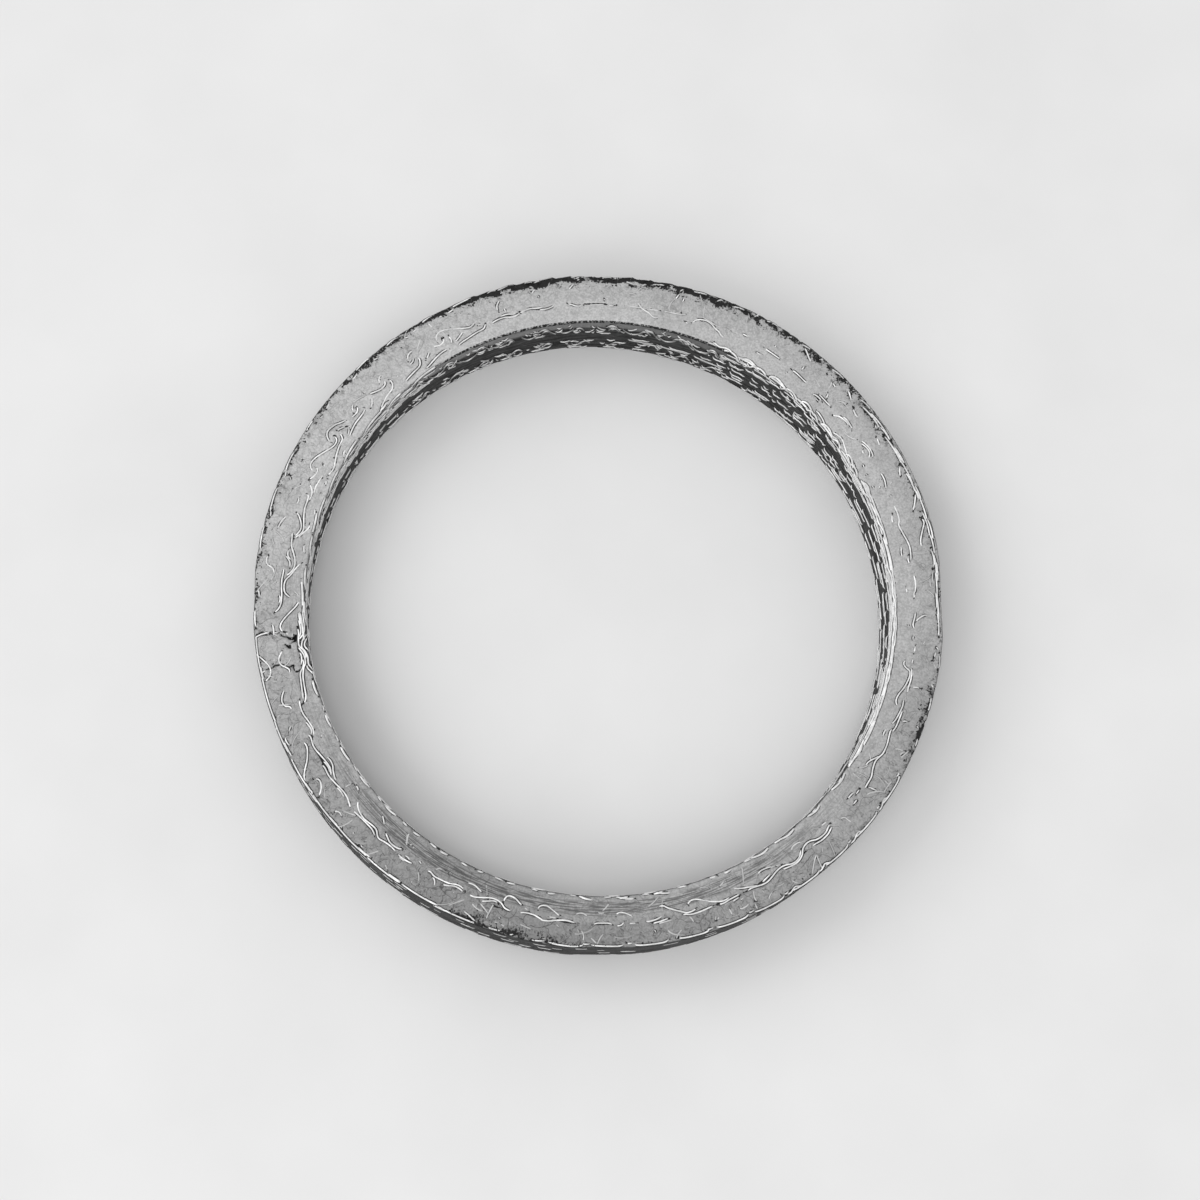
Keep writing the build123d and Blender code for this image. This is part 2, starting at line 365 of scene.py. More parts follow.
# %% The double, waving seam, and the arches that lean over it
SEAM_STRANDS = [
    (1.0, (198.6, 23.9), (200, 24.03), (201.5, 24.03), (203, 23.88), (204.5, 23.78), (205.5, 23.86),
     (206.2, 24.03)),
    (0.9, (202.7, 24.12), (203.8, 23.98), (204.8, 23.92), (205.9, 24.08)),
    (1.0, (205, 24.33), (206, 24.2), (207.4, 24.3), (208.5, 24.27), (209.5, 24.17), (211, 24.05),
     (212.3, 24.02),
     (213.2, 24.15), (213.9, 24.35)),
    (0.8, (210.5, 24.22), (211.5, 24.13), (212.6, 24.14), (213.5, 24.34)),
    (1.0, (211, 24.42), (212, 24.36), (213.5, 24.42), (215, 24.35), (217, 24.22), (218.5, 24.25),
     (219.5, 24.4),
     (220.6, 24.6)),
    (0.7, (215.5, 24.46), (217, 24.36), (218.6, 24.46)),
    (1.0, (220, 23.7), (220.9, 24.05), (222, 24.25), (223.3, 24.33), (224.5, 24.27), (225.5, 24.23),
     (226.3, 24.28),
     (227, 24.5), (227.6, 24.6), (228.7, 24.5), (230, 24.45), (231.6, 24.52)),
    (0.9, (220.7, 24.54), (222.5, 24.46), (224, 24.43), (225.5, 24.45), (226.3, 24.56), (227, 24.7)),
    (0.9, (227.5, 23.9), (228.5, 24.1), (229.5, 24.27), (231, 24.25), (232.2, 24)),
    (1.0, (231.5, 24.52), (232.6, 24.6), (234, 24.55), (235.1, 24.45)),
    (0.9, (232.5, 24.35), (233.5, 24.3), (234.4, 24.44)),
    (0.7, (231.8, 24.7), (234, 24.67)),
    (0.6, (235.2, 23.95), (236.4, 24.2)),
    (1.0, (237.4, 24.35), (238.2, 24.26), (239.2, 24.38), (240.5, 24.36), (242, 24.3), (243, 24.16),
     (244, 24.12),
     (245.1, 24.26)),
    (0.8, (240.8, 24.66), (242, 24.5), (243, 24.33), (244, 24.3), (245.2, 24.45)),
    (1.0, (238.7, 24.46), (239.5, 24.6), (239.9, 24.85), (240.1, 25.12)),
    (1.0, (245.6, 24.4), (247, 24.4), (248.2, 24.25), (249.5, 24.05), (250.7, 24), (251.7, 24.12),
     (252.5, 24.38),
     (253.2, 24.46), (254, 24.5)),
    (0.7, (248, 24.57), (249.3, 24.35), (250.5, 24.15), (251.5, 24.26)),
    (0.9, (255, 24.47), (256.3, 24.32), (257.8, 24.34), (258.9, 24.5), (259.5, 24.6), (260.6, 24.56),
     (262, 24.42),
     (263.3, 24.36), (264.3, 24.4), (265.3, 24.5)),
    (0.5, (260, 24.3), (261.2, 24.26), (262.3, 24.3)),
    (0.7, (268, 24.56), (268.7, 24.42), (269.7, 24.4), (271, 24.42), (271.8, 24.6)),
    (0.9, (271.9, 24.6), (272.9, 24.6), (273.5, 24.38), (273.7, 24.25)),
    (0.5, (274, 24.5), (276, 24.52)),
    (0.8, (277, 24.35), (277.6, 24.5), (279, 24.45), (280.1, 24.3), (280.5, 24.16)),
    (0.9, (278.2, 24.7), (280, 24.62), (281.6, 24.48)),
    (0.5, (279, 24.78), (282.3, 24.66)),
    (0.9, (283.5, 24.56), (284.2, 24.5), (285.2, 24.62), (286.8, 24.62), (288.5, 24.55), (289.7, 24.5)),
    (0.9, (290, 24.55), (291.3, 24.6), (292.5, 24.52), (294.7, 24.45)),
    (0.7, (292.3, 24.76), (294.5, 24.63)),
    (0.9, (295.7, 24.5), (296.6, 24.45), (297.6, 24.5), (298.8, 24.6), (299.8, 24.6), (301, 24.45),
     (302, 24.3),
     (303.2, 24.22), (304.2, 24.3), (305, 24.45), (306, 24.5), (307, 24.38), (307.8, 24.1), (308.2, 23.95)),
    (1.0, (298.8, 24.46), (300, 24.32), (301.3, 24.2)),
    (1.0, (303, 24.38), (304, 24.5), (305.3, 24.6), (306.4, 24.6), (307.5, 24.42), (308.3, 24.1),
     (309.3, 23.95),
     (310.3, 24), (311.2, 24.2), (312.2, 24.3), (313.4, 24.3), (314.4, 24.15), (315.3, 24.05)),
    (1.0, (309.8, 24.35), (310.8, 24.42), (312, 24.52), (313.5, 24.5), (314.6, 24.36), (315.3, 24.28)),
    # the arches, each over one stitch
    (0.3, (204.8, 23.7), (205, 23.4), (205.6, 23.25)),
    (0.5, (206, 23.3), (206.5, 23.4), (207.1, 23.62)),
    (0.3, (207.6, 23.78), (208.8, 24.05)),
    (0.8, (210.3, 24), (210.6, 23.8), (211.4, 23.72), (212.4, 23.78), (213.2, 23.95), (214.3, 24.12),
     (215.3, 24.2)),
    (0.4, (216.9, 24.1), (216.9, 23.6), (217.3, 23.3)),
    (0.7, (217.4, 23.25), (218.2, 23.2), (219.1, 23.36)),
    (0.8, (224.8, 23.18), (225.3, 23.22), (226, 23.4), (226.8, 23.65)),
    (0.3, (231.6, 23.8), (231.7, 23.5), (232.5, 23.4)),
    (0.6, (232.9, 23.4), (233.7, 23.6)),
    (0.4, (238.6, 24.1), (239.2, 23.72), (240.5, 23.65)),
    (0.6, (240.9, 23.7), (241.5, 23.85), (242, 24)),
    (0.7, (244.5, 23.68), (246, 23.6), (247.2, 23.75), (248.3, 23.98)),
    (0.9, (252.1, 24.12), (252.1, 23.8), (252.4, 23.52), (253, 23.43), (253.9, 23.5), (254.8, 23.72),
     (255.6, 23.92)),
    (0.4, (255.6, 23.92), (256.9, 24.16)),
    (0.7, (258.3, 24), (258.3, 23.75), (258.8, 23.55), (259.7, 23.5), (260.5, 23.65), (261.5, 23.9),
     (262.6, 24.2)),
    (0.4, (264.8, 24), (265.3, 23.78), (266.2, 23.72), (266.9, 23.85), (267.4, 24)),
    (0.8, (272, 23.98), (272.2, 23.8), (272.8, 23.65), (273.6, 23.68), (274.5, 23.85), (275.5, 24.12)),
    (0.8, (279.7, 23.52), (280.8, 23.55), (281.5, 23.75), (282.5, 23.98), (283.6, 24.22), (284.6, 24.42),
     (285.6, 24.42), (286.7, 24.28)),
    (0.9, (285.2, 24.1), (285.2, 23.85), (285.7, 23.67), (286.5, 23.63), (287.4, 23.75), (288.5, 24),
     (289.6, 24.22),
     (291, 24.42), (292, 24.42), (292.9, 24.3)),
    (0.7, (293.5, 23.8), (295, 24.1), (296.5, 24.3), (297.7, 24.46), (298.4, 24.6)),
    (0.8, (298.9, 23.92), (299.1, 23.73), (299.8, 23.65), (301, 23.7), (302.2, 23.85)),
    (0.4, (302.2, 23.85), (303.8, 24.1)),
    (0.7, (306.6, 23.85), (306.6, 23.63), (307.2, 23.48), (308.2, 23.5), (309.2, 23.7)),
    (0.9, (313.3, 23.7), (315.3, 23.8)),
    # loops that slide out towards the outer edge
    (0.8, (202.5, 25.1), (203, 25.28), (203.7, 25.5)),
    (0.9, (203.9, 25.72), (204.4, 25.82), (205.3, 25.82), (206, 25.65)),
    (1.0, (206, 24.88), (206.6, 24.77), (207.4, 24.78), (208.3, 24.95), (209.3, 25.2), (210.2, 25.5),
     (211, 25.75),
     (212, 25.95), (212.6, 25.85)),
    (0.9, (212.7, 25.5), (212.9, 25.25), (213.5, 25.17), (214.4, 25.3), (215.1, 25.55), (215.7, 25.88)),
    (0.8, (219, 25.8), (219.2, 25.47), (219.9, 25.35), (221, 25.5)),
    (0.6, (221.3, 25.72), (222.3, 25.97)),
    (0.6, (223.5, 25.45), (224.2, 25.65)),
    (0.8, (226, 25.74), (226.9, 25.8)),
    (0.5, (236.3, 25.4), (236.6, 25.72)),
    (0.3, (243.6, 24.5), (243.3, 24.95)),
    (0.9, (252, 25.1), (252.4, 25.32)),
    (0.5, (252.5, 25.5), (253.8, 25.66)),
    (0.6, (246, 25.55), (247.5, 25.72), (249, 25.95)),
    (0.5, (259.6, 25.1), (259.5, 25.5)),
    (0.9, (278.5, 25.08), (278.75, 25.42)),
    (0.4, (284.5, 24.6), (285.1, 24.9), (285.4, 25.4)),
    (0.6, (291.7, 24.9), (291.8, 25.3), (291.9, 25.72)),
    (0.4, (289, 25.6), (289.9, 25.3)),
    (0.5, (293.6, 23.05), (293.8, 23.4)),
    (0.3, (298.2, 24.8), (298.4, 25.3)),
    (0.3, (304.7, 24.9), (304.9, 25.4)),
    (0.4, (316.6, 24.4), (317.6, 24.5), (317.8, 25), (318, 25.4)),
]

# %% One seam that comes and goes, and the strokes beside it
STROKE_STRANDS = [
    (1.0, (320.4, 23.85), (321.6, 23.86), (322.6, 23.96)),
    (0.9, (322, 24.12), (323.6, 24.12)),
    (1.0, (320.3, 24.42), (321.9, 24.43)),
    (0.9, (323.8, 24.42), (325, 24.37), (326.5, 24.33), (327.8, 24.12), (329.2, 24), (330.2, 24.08),
     (331.3, 24.22),
     (333, 24.2), (334.3, 24.1), (335.5, 24.02), (336.3, 24.13)),
    (0.9, (335.3, 24.13), (336.5, 24.27), (338, 24.3), (340.3, 24.33)),
    (0.8, (327.4, 23.55), (328.3, 23.55), (329.2, 23.72), (330, 23.95), (330.9, 24.1)),
    (0.8, (333.7, 23.67), (335, 23.62), (335.9, 23.73)),
    (0.7, (336.6, 23.86), (337.7, 24.05), (339, 24.15), (340.3, 24.22), (341, 24.22), (342.3, 24.12)),
    (0.8, (340.3, 24), (340.7, 23.73), (341.5, 23.62), (342.6, 23.7), (343.7, 23.9), (345, 24.07),
     (346.3, 24.17),
     (347.3, 24.1), (347.8, 23.76), (348.4, 23.56), (349.5, 23.63)),
    (1.0, (343, 24.33), (344.2, 24.27), (346, 24.32), (347.7, 24.22), (348.2, 24.1)),
    (0.6, (348.4, 24.18), (350, 24.2)),
    (0.5, (324.3, 24.45), (324.8, 24.8), (324.9, 25.3)),
    (0.5, (331.3, 24.3), (332, 24.62)),
    (0.6, (338, 24.45), (338.3, 24.85), (338.4, 25.1)),
    (0.4, (337.6, 25.1), (337.6, 25.4)),
    (0.6, (344.4, 24.4), (344.7, 24.9), (344.5, 25.3)),
    (0.5, (331.6, 25.45), (334, 25.8)),
    (0.4, (332, 25.3), (333.6, 25.6)),
    (1.0, (350.6, 24.22), (352.4, 24.27)),
    (1.0, (353, 24.03), (354.2, 24.02)),
    (1.0, (355.1, 24.2), (355.6, 24), (356.3, 23.98), (357.5, 24.1), (358.7, 24.15)),
    (0.8, (356.4, 24.12), (357.2, 24.4), (357.8, 24.8), (357.9, 25.22)),
    (0.6, (355.4, 23.6), (356.3, 23.6)),
    (0.9, (361.8, 23.62), (362.5, 23.53), (363.3, 23.55)),
    (1.0, (360.6, 24.13), (361.8, 24.08), (362.5, 24.22), (364, 24.28), (365.7, 24.2)),
    (1.0, (367.2, 24.05), (368.3, 23.97), (369.1, 24.06)),
    (0.9, (367.8, 24.15), (369, 24.25), (370.5, 24.3), (371.8, 24.22), (373.3, 24.05), (375, 23.92),
     (376, 24.08),
     (377.5, 24.12), (379.3, 24.05)),
    (1.0, (368.7, 23.6), (369.6, 23.55), (370.6, 23.62), (371.4, 23.68)),
    (1.0, (375.4, 23.62), (376.2, 23.53), (377.7, 23.75)),
    (1.0, (370, 25.2), (371.3, 25.22), (373, 25.45), (374.5, 25.66), (375.5, 25.55)),
    (0.9, (376.6, 25.25), (378, 25.5), (380, 25.8)),
    (0.6, (363.5, 25.5), (366, 25.65)),
    (0.6, (350, 25.6), (352, 25.8)),
    (0.6, (380.3, 24.16), (381.2, 24.1)),
    (1.0, (382, 24), (383, 24.1), (384, 24.2), (385.8, 24.2)),
    (0.8, (382.6, 23.55), (383.6, 23.66)),
    (0.6, (384.2, 23.9), (384.5, 23.96)),
    (0.8, (383, 23.1), (384.2, 23.15)),
    (0.7, (385.8, 23.12), (386.7, 23.13)),
    (0.8, (387.5, 23.2), (388.7, 23.3)),
    (0.4, (382.8, 24.3), (383.3, 24.9)),
    (1.0, (28.4, 24.22), (29.3, 24.35), (30.5, 24.4), (31.7, 24.3), (32.8, 24.15)),
    (0.5, (32.8, 24.1), (34, 23.65), (35.5, 23.46), (36.3, 23.5)),
    (1.0, (28.8, 23.8), (29.2, 24.05), (30, 24.25), (31, 24.22), (32.4, 24)),
    (0.8, (29.8, 23.8), (30.5, 23.78), (31.2, 23.96)),
    (1.0, (35, 24.15), (36, 24.2), (37.2, 24.25), (38.6, 24.15)),
    (1.0, (35.8, 24), (36.6, 24.13), (37.7, 24.08), (38.5, 23.98), (39.2, 23.75), (39.9, 23.52)),
    (0.9, (40.8, 24), (42, 23.97), (44.5, 24)),
    (0.9, (42.7, 23.7), (43.5, 23.79), (44.5, 23.76), (45.4, 23.6)),
    (0.7, (43.2, 23.56), (44.2, 23.56)),
    (0.8, (42.6, 24.1), (43, 24.4), (43.2, 24.7)),
    (0.9, (47, 24.02), (48, 24), (50, 24.07), (51.3, 24.05)),
    (0.9, (49.6, 24.5), (49.75, 24.8), (49.6, 25.02)),
    (0.8, (51.2, 23.56), (51.9, 23.63)),
    (0.8, (57, 23.72), (57.9, 23.6), (58.9, 23.7)),
    (1.0, (53.8, 24.2), (55.8, 24.22), (57.8, 24.25)),
    (0.8, (56.1, 24.7), (56.2, 25.06)),
    (0.9, (61, 24.38), (62.8, 24.43)),
    (0.8, (64.8, 23.42), (65.9, 23.52), (66.5, 23.7), (67.5, 23.87), (68.5, 24.1), (69.5, 24.2),
     (70.5, 24.15),
     (71.3, 24), (71.9, 23.7), (72.2, 23.5)),
    (0.9, (72.4, 23.43), (73.5, 23.6)),
    (0.4, (66, 24.22), (67.5, 24.12), (69, 24.25), (70.3, 24.36), (71.3, 24.33)),
    (0.5, (73, 24.2), (74.5, 24.05), (76, 24), (78, 23.95)),
    (0.4, (73.9, 23.95), (74.3, 23.6)),
    (0.9, (74.8, 25), (74.6, 25.5)),
    (1.0, (76.2, 25.1), (75.5, 25.68)),
    # slanted dashes near the outer edge
    (1.0, (23.1, 25.35), (24.3, 25.46), (25.5, 25.66)),
    (1.0, (29.7, 25.15), (30.7, 25.25), (31.9, 25.32)),
    (0.8, (32.7, 25.5), (33.9, 25.7)),
    (0.9, (36, 25.15), (37, 25.08), (38.5, 25.26)),
    (0.9, (39.2, 25.4), (41, 25.66), (41.6, 25.7)),
    (1.0, (42.8, 25.27), (44.3, 25.4)),
    (0.8, (45.2, 25.5), (46, 25.56)),
    (0.9, (49, 25.4), (50, 25.52), (52, 25.9)),
    (0.7, (60.5, 25.5), (61.2, 25.62)),
    (0.6, (62.6, 25.35), (63.2, 25.44)),
    (0.9, (61.9, 25.8), (61.6, 26.12), (60.8, 26.2)),
    # strands of the bore rim that ride up on the face
    (1.0, (27.2, 22.46), (28.5, 22.55), (29.9, 22.72)),
    (1.0, (28.5, 22.3), (30.5, 22.46), (33, 22.77), (34.7, 22.97), (35.8, 22.9), (37.2, 22.68)),
    (1.0, (36, 22.25), (38, 22.46), (40, 22.76), (41.5, 22.87), (42.6, 22.88)),
    (0.9, (34.3, 22.35), (34.15, 22.8)),
    (0.9, (41, 22.3), (41.6, 22.52), (42, 22.76)),
    (0.9, (46, 22.25), (47.5, 22.42), (49.2, 22.54)),
]
for group in (FACE_STRANDS, JOIN_STRANDS, SEAM_STRANDS, STROKE_STRANDS):
    for bare, *places in group:
        lay("face_strands", bare, *places)
print(len(strands), "strands on the upper face")
# %% [markdown]
# ## Rims and walls
# Elsewhere the knit repeats, stitch after stitch, so one pattern strand is laid again at every stitch,
# nudged a little each time by a seeded random draw. The nudges are what keeps it from looking printed.

# %% One pattern strand, laid at many stitches
draw = np.random.default_rng(SEED)


def repeat(where, first, last, pattern, bare=1.0, shift=0.0, nudge=0.5, drift=0.06, stretch=0.15, skip=0.0,
           step=0.15):
    """Lays the pattern at every stitch between two angles. A pattern is places (degrees from the stitch,
    across).
    Each copy is turned by up to nudge degrees, moved across by up to drift mm, made longer or shorter by
    a share of stretch, and left out with the chance skip."""
    for angle in stitches(first, last) + shift:
        turned, moved, longer, lost, shown = draw.uniform(-1, 1, 5)
        if (lost + 1) / 2 < skip:
            continue
        places = [(angle + turned * nudge + x * (1 + longer * stretch), a + moved * drift, *lift)
                  for x, a, *lift in pattern]
        lay(where, bare * (0.85 + 0.15 * shown), *places, step=step)


def dash(across, length, bow=0.05, slant=0.0):
    """A short run along the ring, bowed in its middle and slanted from end to end."""
    half = length / 2
    return [(-half, across + slant / 2), (-half / 3, across + bow + slant / 6),
            (half / 3, across + bow - slant / 6), (half, across - slant / 2)]


# %% [markdown]
# ## The bore rim
# Where the sleeve turns over the inner edge its loops lie side by side. On one side of the ring they make
# a bright cord, on the other they look like a rope: three bright degrees, then three hidden ones.

# %% Strands on the bore rim
repeat("rim_strands", 122, 186, dash(22.42, 6.5, 0.05, 0.14), 1.0, drift=0.04, stretch=0.3)
repeat("rim_strands", 128, 186, dash(22.66, 4.6, -0.06, 0.16), 1.0, shift=2.5, drift=0.05, skip=0.15,
       stretch=0.4)
repeat("rim_strands", 126, 186, dash(22.2, 5.5, -0.05, -0.12), 1.0, shift=-1.5, drift=0.05, stretch=0.3)
repeat("rim_strands", 146, 186, dash(22.76, 3, 0.08, 0.2), 0.9, shift=0.5, drift=0.08, skip=0.35, stretch=0.4)
repeat("rim_strands", 194, 226, dash(22.36, 5, 0.03, 0.05), 1.0, shift=-0.8, drift=0.03)
repeat("rim_strands", 196, 226, dash(22.5, 3.6, 0.08, 0.05), 1.0, shift=0.4, drift=0.05)
repeat("rim_strands", 203, 226, dash(22.42, 3, 0.03, 0.08), 0.9, shift=-0.2, drift=0.03)
repeat("rim_strands", 226, 332, dash(22.37, 3.8, 0.02, 0.05), 1.0, shift=-1.4, nudge=0.3, drift=0.03)
repeat("rim_strands", 226, 332, dash(22.5, 2.4, 0.06, 0.1), 0.9, shift=0.3, drift=0.04, skip=0.25)
repeat("rim_strands", 200, 332, dash(22.44, 2.2, 0.05, -0.08), 0.9, shift=-2.6, drift=0.05, skip=0.2)
repeat("rim_strands", 295, 335, [(-2.5, 22.4), (-0.8, 22.58), (0.8, 22.62), (2.5, 22.42)], 0.9, drift=0.03)
repeat("rim_strands", 262, 282, [(-2.6, 22.4), (-0.8, 22.62), (0.6, 22.7), (1.4, 22.66)], 0.8, shift=1.0)
for bare, across, turn in ((1.0, 22.52, 0), (1.0, 22.42, 2.3), (1.0, 22.32, 4.6), (0.9, 22.2, 1.2),
                           (0.9, 22.08, 3.2),
                           (1.0, 22.66, 5.6)):
    repeat("rim_strands", 328, 384, dash(across - 0.08, 8.5, 0.05, 0.03), bare, shift=turn, drift=0.03)
LOOP = [(-3, 22.3), (-1.6, 22.55), (-0.2, 22.72), (0.9, 22.66), (1.3, 22.42), (0.6, 22.2)]
repeat("rim_strands", 22, 60, LOOP, 1.0, drift=0.06)
repeat("rim_strands", 22, 62, [(-2, 22.1), (-0.6, 22.4), (1, 22.6), (2.4, 22.5), (3, 22.25)], 0.9, shift=3,
       drift=0.06)
repeat("rim_strands", 24, 60, dash(22.42, 5, 0.06, -0.1), 0.9, drift=0.08)
repeat("rim_strands", 24, 60, dash(22.26, 6, 0.06, 0.1), 0.9, shift=2.5, drift=0.08)
repeat("rim_strands", 54, 72, dash(22.52, 3, 0.03, 0.02), 0.7, shift=1.0, drift=0.04, skip=0.4)

# %% [markdown]
# ## The bore wall
# Pressed flat against the die's core, the knit shows here as rows of bright dashes and low hills,
# with dark graphite between them, partly unburnished and partly painted shade.

# %% Strands on the bore wall
def belt(first, last, low, high, spacing, length, lean=0.05, bare=1.0, skip=0.12):
    """Rows of wires one over another, between two heights. Every row starts at a random share of a stitch."""
    for height in np.arange(low, high, spacing):
        at, half = bore_wall(height), length / 2
        wavy = [(-half, at + lean / 2), (-half / 3, at + 0.07), (half / 3, at - 0.06), (half, at - lean / 2)]
        repeat("bore_strands", first, last, wavy, bare, shift=draw.uniform(0, PITCH), nudge=1.3,
               drift=0.45 * spacing,
               stretch=0.4, skip=skip)


belt(330, 388, 4.6, 5.8, 0.24, 6)
belt(330, 388, 3.8, 4.3, 0.5, 4)
belt(330, 388, 2.2, 3.3, 0.4, 5)
belt(330, 388, 0.15, 1.5, 0.35, 5.5)
belt(30, 63, 4.7, 5.8, 0.36, 4, -0.3)
belt(30, 63, 2.3, 4.5, 0.42, 3, -0.35, skip=0.25)
belt(30, 63, 0.2, 1.6, 0.35, 3.6, -0.1)
belt(62, 84, 2.2, 3.0, 0.4, 5, -0.1, bare=0.7)
belt(126, 180, 4.8, 5.6, 0.3, 4, 0.1, bare=0.8, skip=0.3)
belt(126, 180, 3.6, 4.7, 0.24, 5.5, 0.1)
belt(126, 180, 0.15, 0.9, 0.3, 4)
HILL = [(-2.8, bore_wall(3.7)), (-1.5, bore_wall(4.2)), (-0.3, bore_wall(5.05)), (0.7, bore_wall(5.2)),
        (1.9, bore_wall(4.6))]
INNER_HILL = [(-1.2, bore_wall(3.9)), (-0.4, bore_wall(4.6)), (0.6, bore_wall(4.75)), (1.4, bore_wall(4.1))]
DIP = [(-2.2, bore_wall(4.9)), (-1.1, bore_wall(4.1)), (0.3, bore_wall(3.8)), (1.6, bore_wall(4.3)),
       (2.4, bore_wall(4.9))]
SQUIGGLE = [(-2, bore_wall(1.1)), (-1, bore_wall(1.75)), (0, bore_wall(1.5)), (1, bore_wall(0.9)),
            (2, bore_wall(1.2))]
repeat("bore_strands", 63, 128, HILL, 0.9, drift=0.2, skip=0.1)
repeat("bore_strands", 63, 128, INNER_HILL, 0.8, shift=0.4, drift=0.2, skip=0.3)
repeat("bore_strands", 60, 128, DIP, 0.8, shift=3.2, drift=0.2, skip=0.2)
repeat("bore_strands", 60, 82, dash(bore_wall(2.35), 6, -0.1, -0.1), 0.6, shift=2.0)
repeat("bore_strands", 60, 130, SQUIGGLE, 0.9, drift=0.25, skip=0.1)
repeat("bore_strands", 60, 130, SQUIGGLE[:3], 0.9, shift=2.6, drift=0.3, skip=0.2)
repeat("bore_strands", 60, 330, dash(bore_wall(0.5), 3.4, 0.12, 0.1), 0.9, shift=1.1, drift=0.12, skip=0.1)
repeat("bore_strands", 82, 128, dash(bore_wall(3.45), 3, 0.1, 0.1), 0.7, shift=2.0, drift=0.12, skip=0.2)
for number, (height, length, bare) in enumerate(((4.9, 4, 0.6), (4.45, 5, 1.0), (4.05, 4.4, 1.0),
                                                 (3.8, 3, 0.7))):
    repeat("bore_strands", 180, 330, dash(bore_wall(height), length, 0.1, 0.12), bare, shift=1.7 * number,
           drift=0.1)
repeat("bore_strands", 124, 330, dash(bore_wall(2), 2.8, 0.12, 0.2), 0.9, shift=1.6, drift=0.2, stretch=0.3)
repeat("bore_strands", 124, 330, dash(bore_wall(1.3), 2.2, 0.12, 0.1), 0.7, shift=4, drift=0.2, skip=0.4)


def scribble(first, last, low, high, count, length, lean, bare=1.0):
    """Fills a belt of the bore wall with short wires: count of them for each stitch, between two heights.
    Each has four places a third of its length apart, on a line that leans by up to lean, each off by 0.1
    mm."""
    for angle in stitches(first, last):
        for _ in range(count):
            turned, up, slant, size, shown, *off = draw.uniform(-1, 1, 9)
            half = length / 2 * (1 + 0.5 * size)
            height = (low + high) / 2 + up * (high - low) / 2
            middle = angle + turned * PITCH / 2
            lay("bore_strands", bare * (0.8 + 0.2 * shown),
                *[(middle + half * x, bore_wall(height + slant * lean * half * x * 0.4 + 0.1 * y))
                  for x, y in zip((-1, -0.35, 0.35, 1), off)], step=0.2)


scribble(330, 392, 2.2, 5.6, 3, 2, 0.4)
scribble(30, 63, 4.4, 5.7, 3, 2.2, 0.8)
scribble(30, 63, 0.2, 4.3, 7, 1.8, 0.5)
scribble(60, 128, 3.7, 5.4, 9, 1.7, 0.9)
scribble(60, 128, 0.15, 2, 9, 1.8, 0.6)
scribble(128, 178, 3.4, 5.5, 5, 2, 0.5)
scribble(128, 178, 1.4, 2.2, 2, 1.8, 0.3)

# %% [markdown]
# ## The outer rim and the outer wall
# The outer edge was the free edge of the sleeve. In one arc the loops stand out from it like saw teeth,
# in another they lie along it in shallow scallops, and between the two they are mostly buried in crumbs.

# %% Strands on the outer rim
SCALLOP = [(-3, 25.86), (-2.4, 25.97), (-1.2, 26.03), (1, 26.05), (2.2, 26.03), (2.8, 25.93), (3.2, 25.82)]
TOOTH = [(-0.6, 25.96), (-0.3, 26.06), (0, 26.1), (1.2, 26.08), (2.6, 26.04), (3.6, 25.96)]
SMALL_TOOTH = [(-0.6, 25.96), (-0.2, 26.06), (0.8, 26.06), (1.8, 26)]
repeat("outer_strands", 189, 246, dash(26.03, 7.6, 0.03, 0.02), 1.0, drift=0.02, nudge=0.2)
repeat("outer_strands", 190, 244, dash(25.95, 3.4, 0.03, 0.05), 1.0, shift=2.2, drift=0.03, skip=0.2)
repeat("outer_strands", 192, 244, dash(26.12, 4, 0.02, 0.05), 0.8, shift=3.6, drift=0.04, skip=0.3)
repeat("outer_strands", 263, 333, SCALLOP, 1.0, shift=-2.6, nudge=0.25, drift=0.02, stretch=0.08)
repeat("outer_strands", 263, 333, [(-0.8, 25.8), (0, 25.88), (0.9, 25.82)], 0.8, shift=0.8, drift=0.04,
       skip=0.2)
repeat("outer_strands", 247, 262, dash(25.97, 3, 0.06, 0.1), 0.8, drift=0.08)
repeat("outer_strands", 247, 262, dash(25.8, 1.6, 0.1, 0.2), 0.7, shift=2.4, drift=0.1)
repeat("outer_strands", 300, 324, [(-1.6, 25.95), (-0.6, 26.02), (0.6, 25.84), (1.4, 25.98), (2.2, 25.92)],
       0.9, shift=1.6, drift=0.05)
repeat("outer_strands", 333, 352, dash(26, 3, 0.05, 0.08), 0.8, drift=0.06)
repeat("outer_strands", 333, 352, dash(25.7, 1.2, 0.12, 0.3), 0.7, shift=2.6, drift=0.12)
for bare, across, turn in ((1.0, 25.8, 0), (1.0, 25.86, 2.4), (0.9, 25.72, 4.4), (1.0, 25.76, 3.4)):
    repeat("outer_strands", 350, 392, dash(across, 5, 0.05, 0.04), bare, shift=turn, drift=0.04, stretch=0.3)
repeat("outer_strands", 34, 80, dash(25.95, 3.2, 0.05, 0.15), 0.6, drift=0.1, skip=0.2)
repeat("outer_strands", 34, 80, dash(25.75, 1.4, 0.1, 0.3), 0.5, shift=3, drift=0.12, skip=0.3)
repeat("outer_strands", 80, 113, TOOTH, 0.5, shift=-2.1, nudge=0.2, drift=0.02, stretch=0.06)
repeat("outer_strands", 80, 113, SMALL_TOOTH, 0.4, shift=1.3, nudge=0.4, drift=0.02, skip=0.2)
repeat("outer_strands", 78, 113, dash(25.8, 1.4, 0.04, 0.1), 0.6, shift=0.2, drift=0.1, skip=0.3)
repeat("outer_strands", 112, 186, dash(26, 4, 0.05, 0.1), 1.0, drift=0.05, stretch=0.3, skip=0.1)
repeat("outer_strands", 112, 183, dash(25.88, 2, -0.08, 0.14), 0.9, shift=2.4, drift=0.08, skip=0.25)
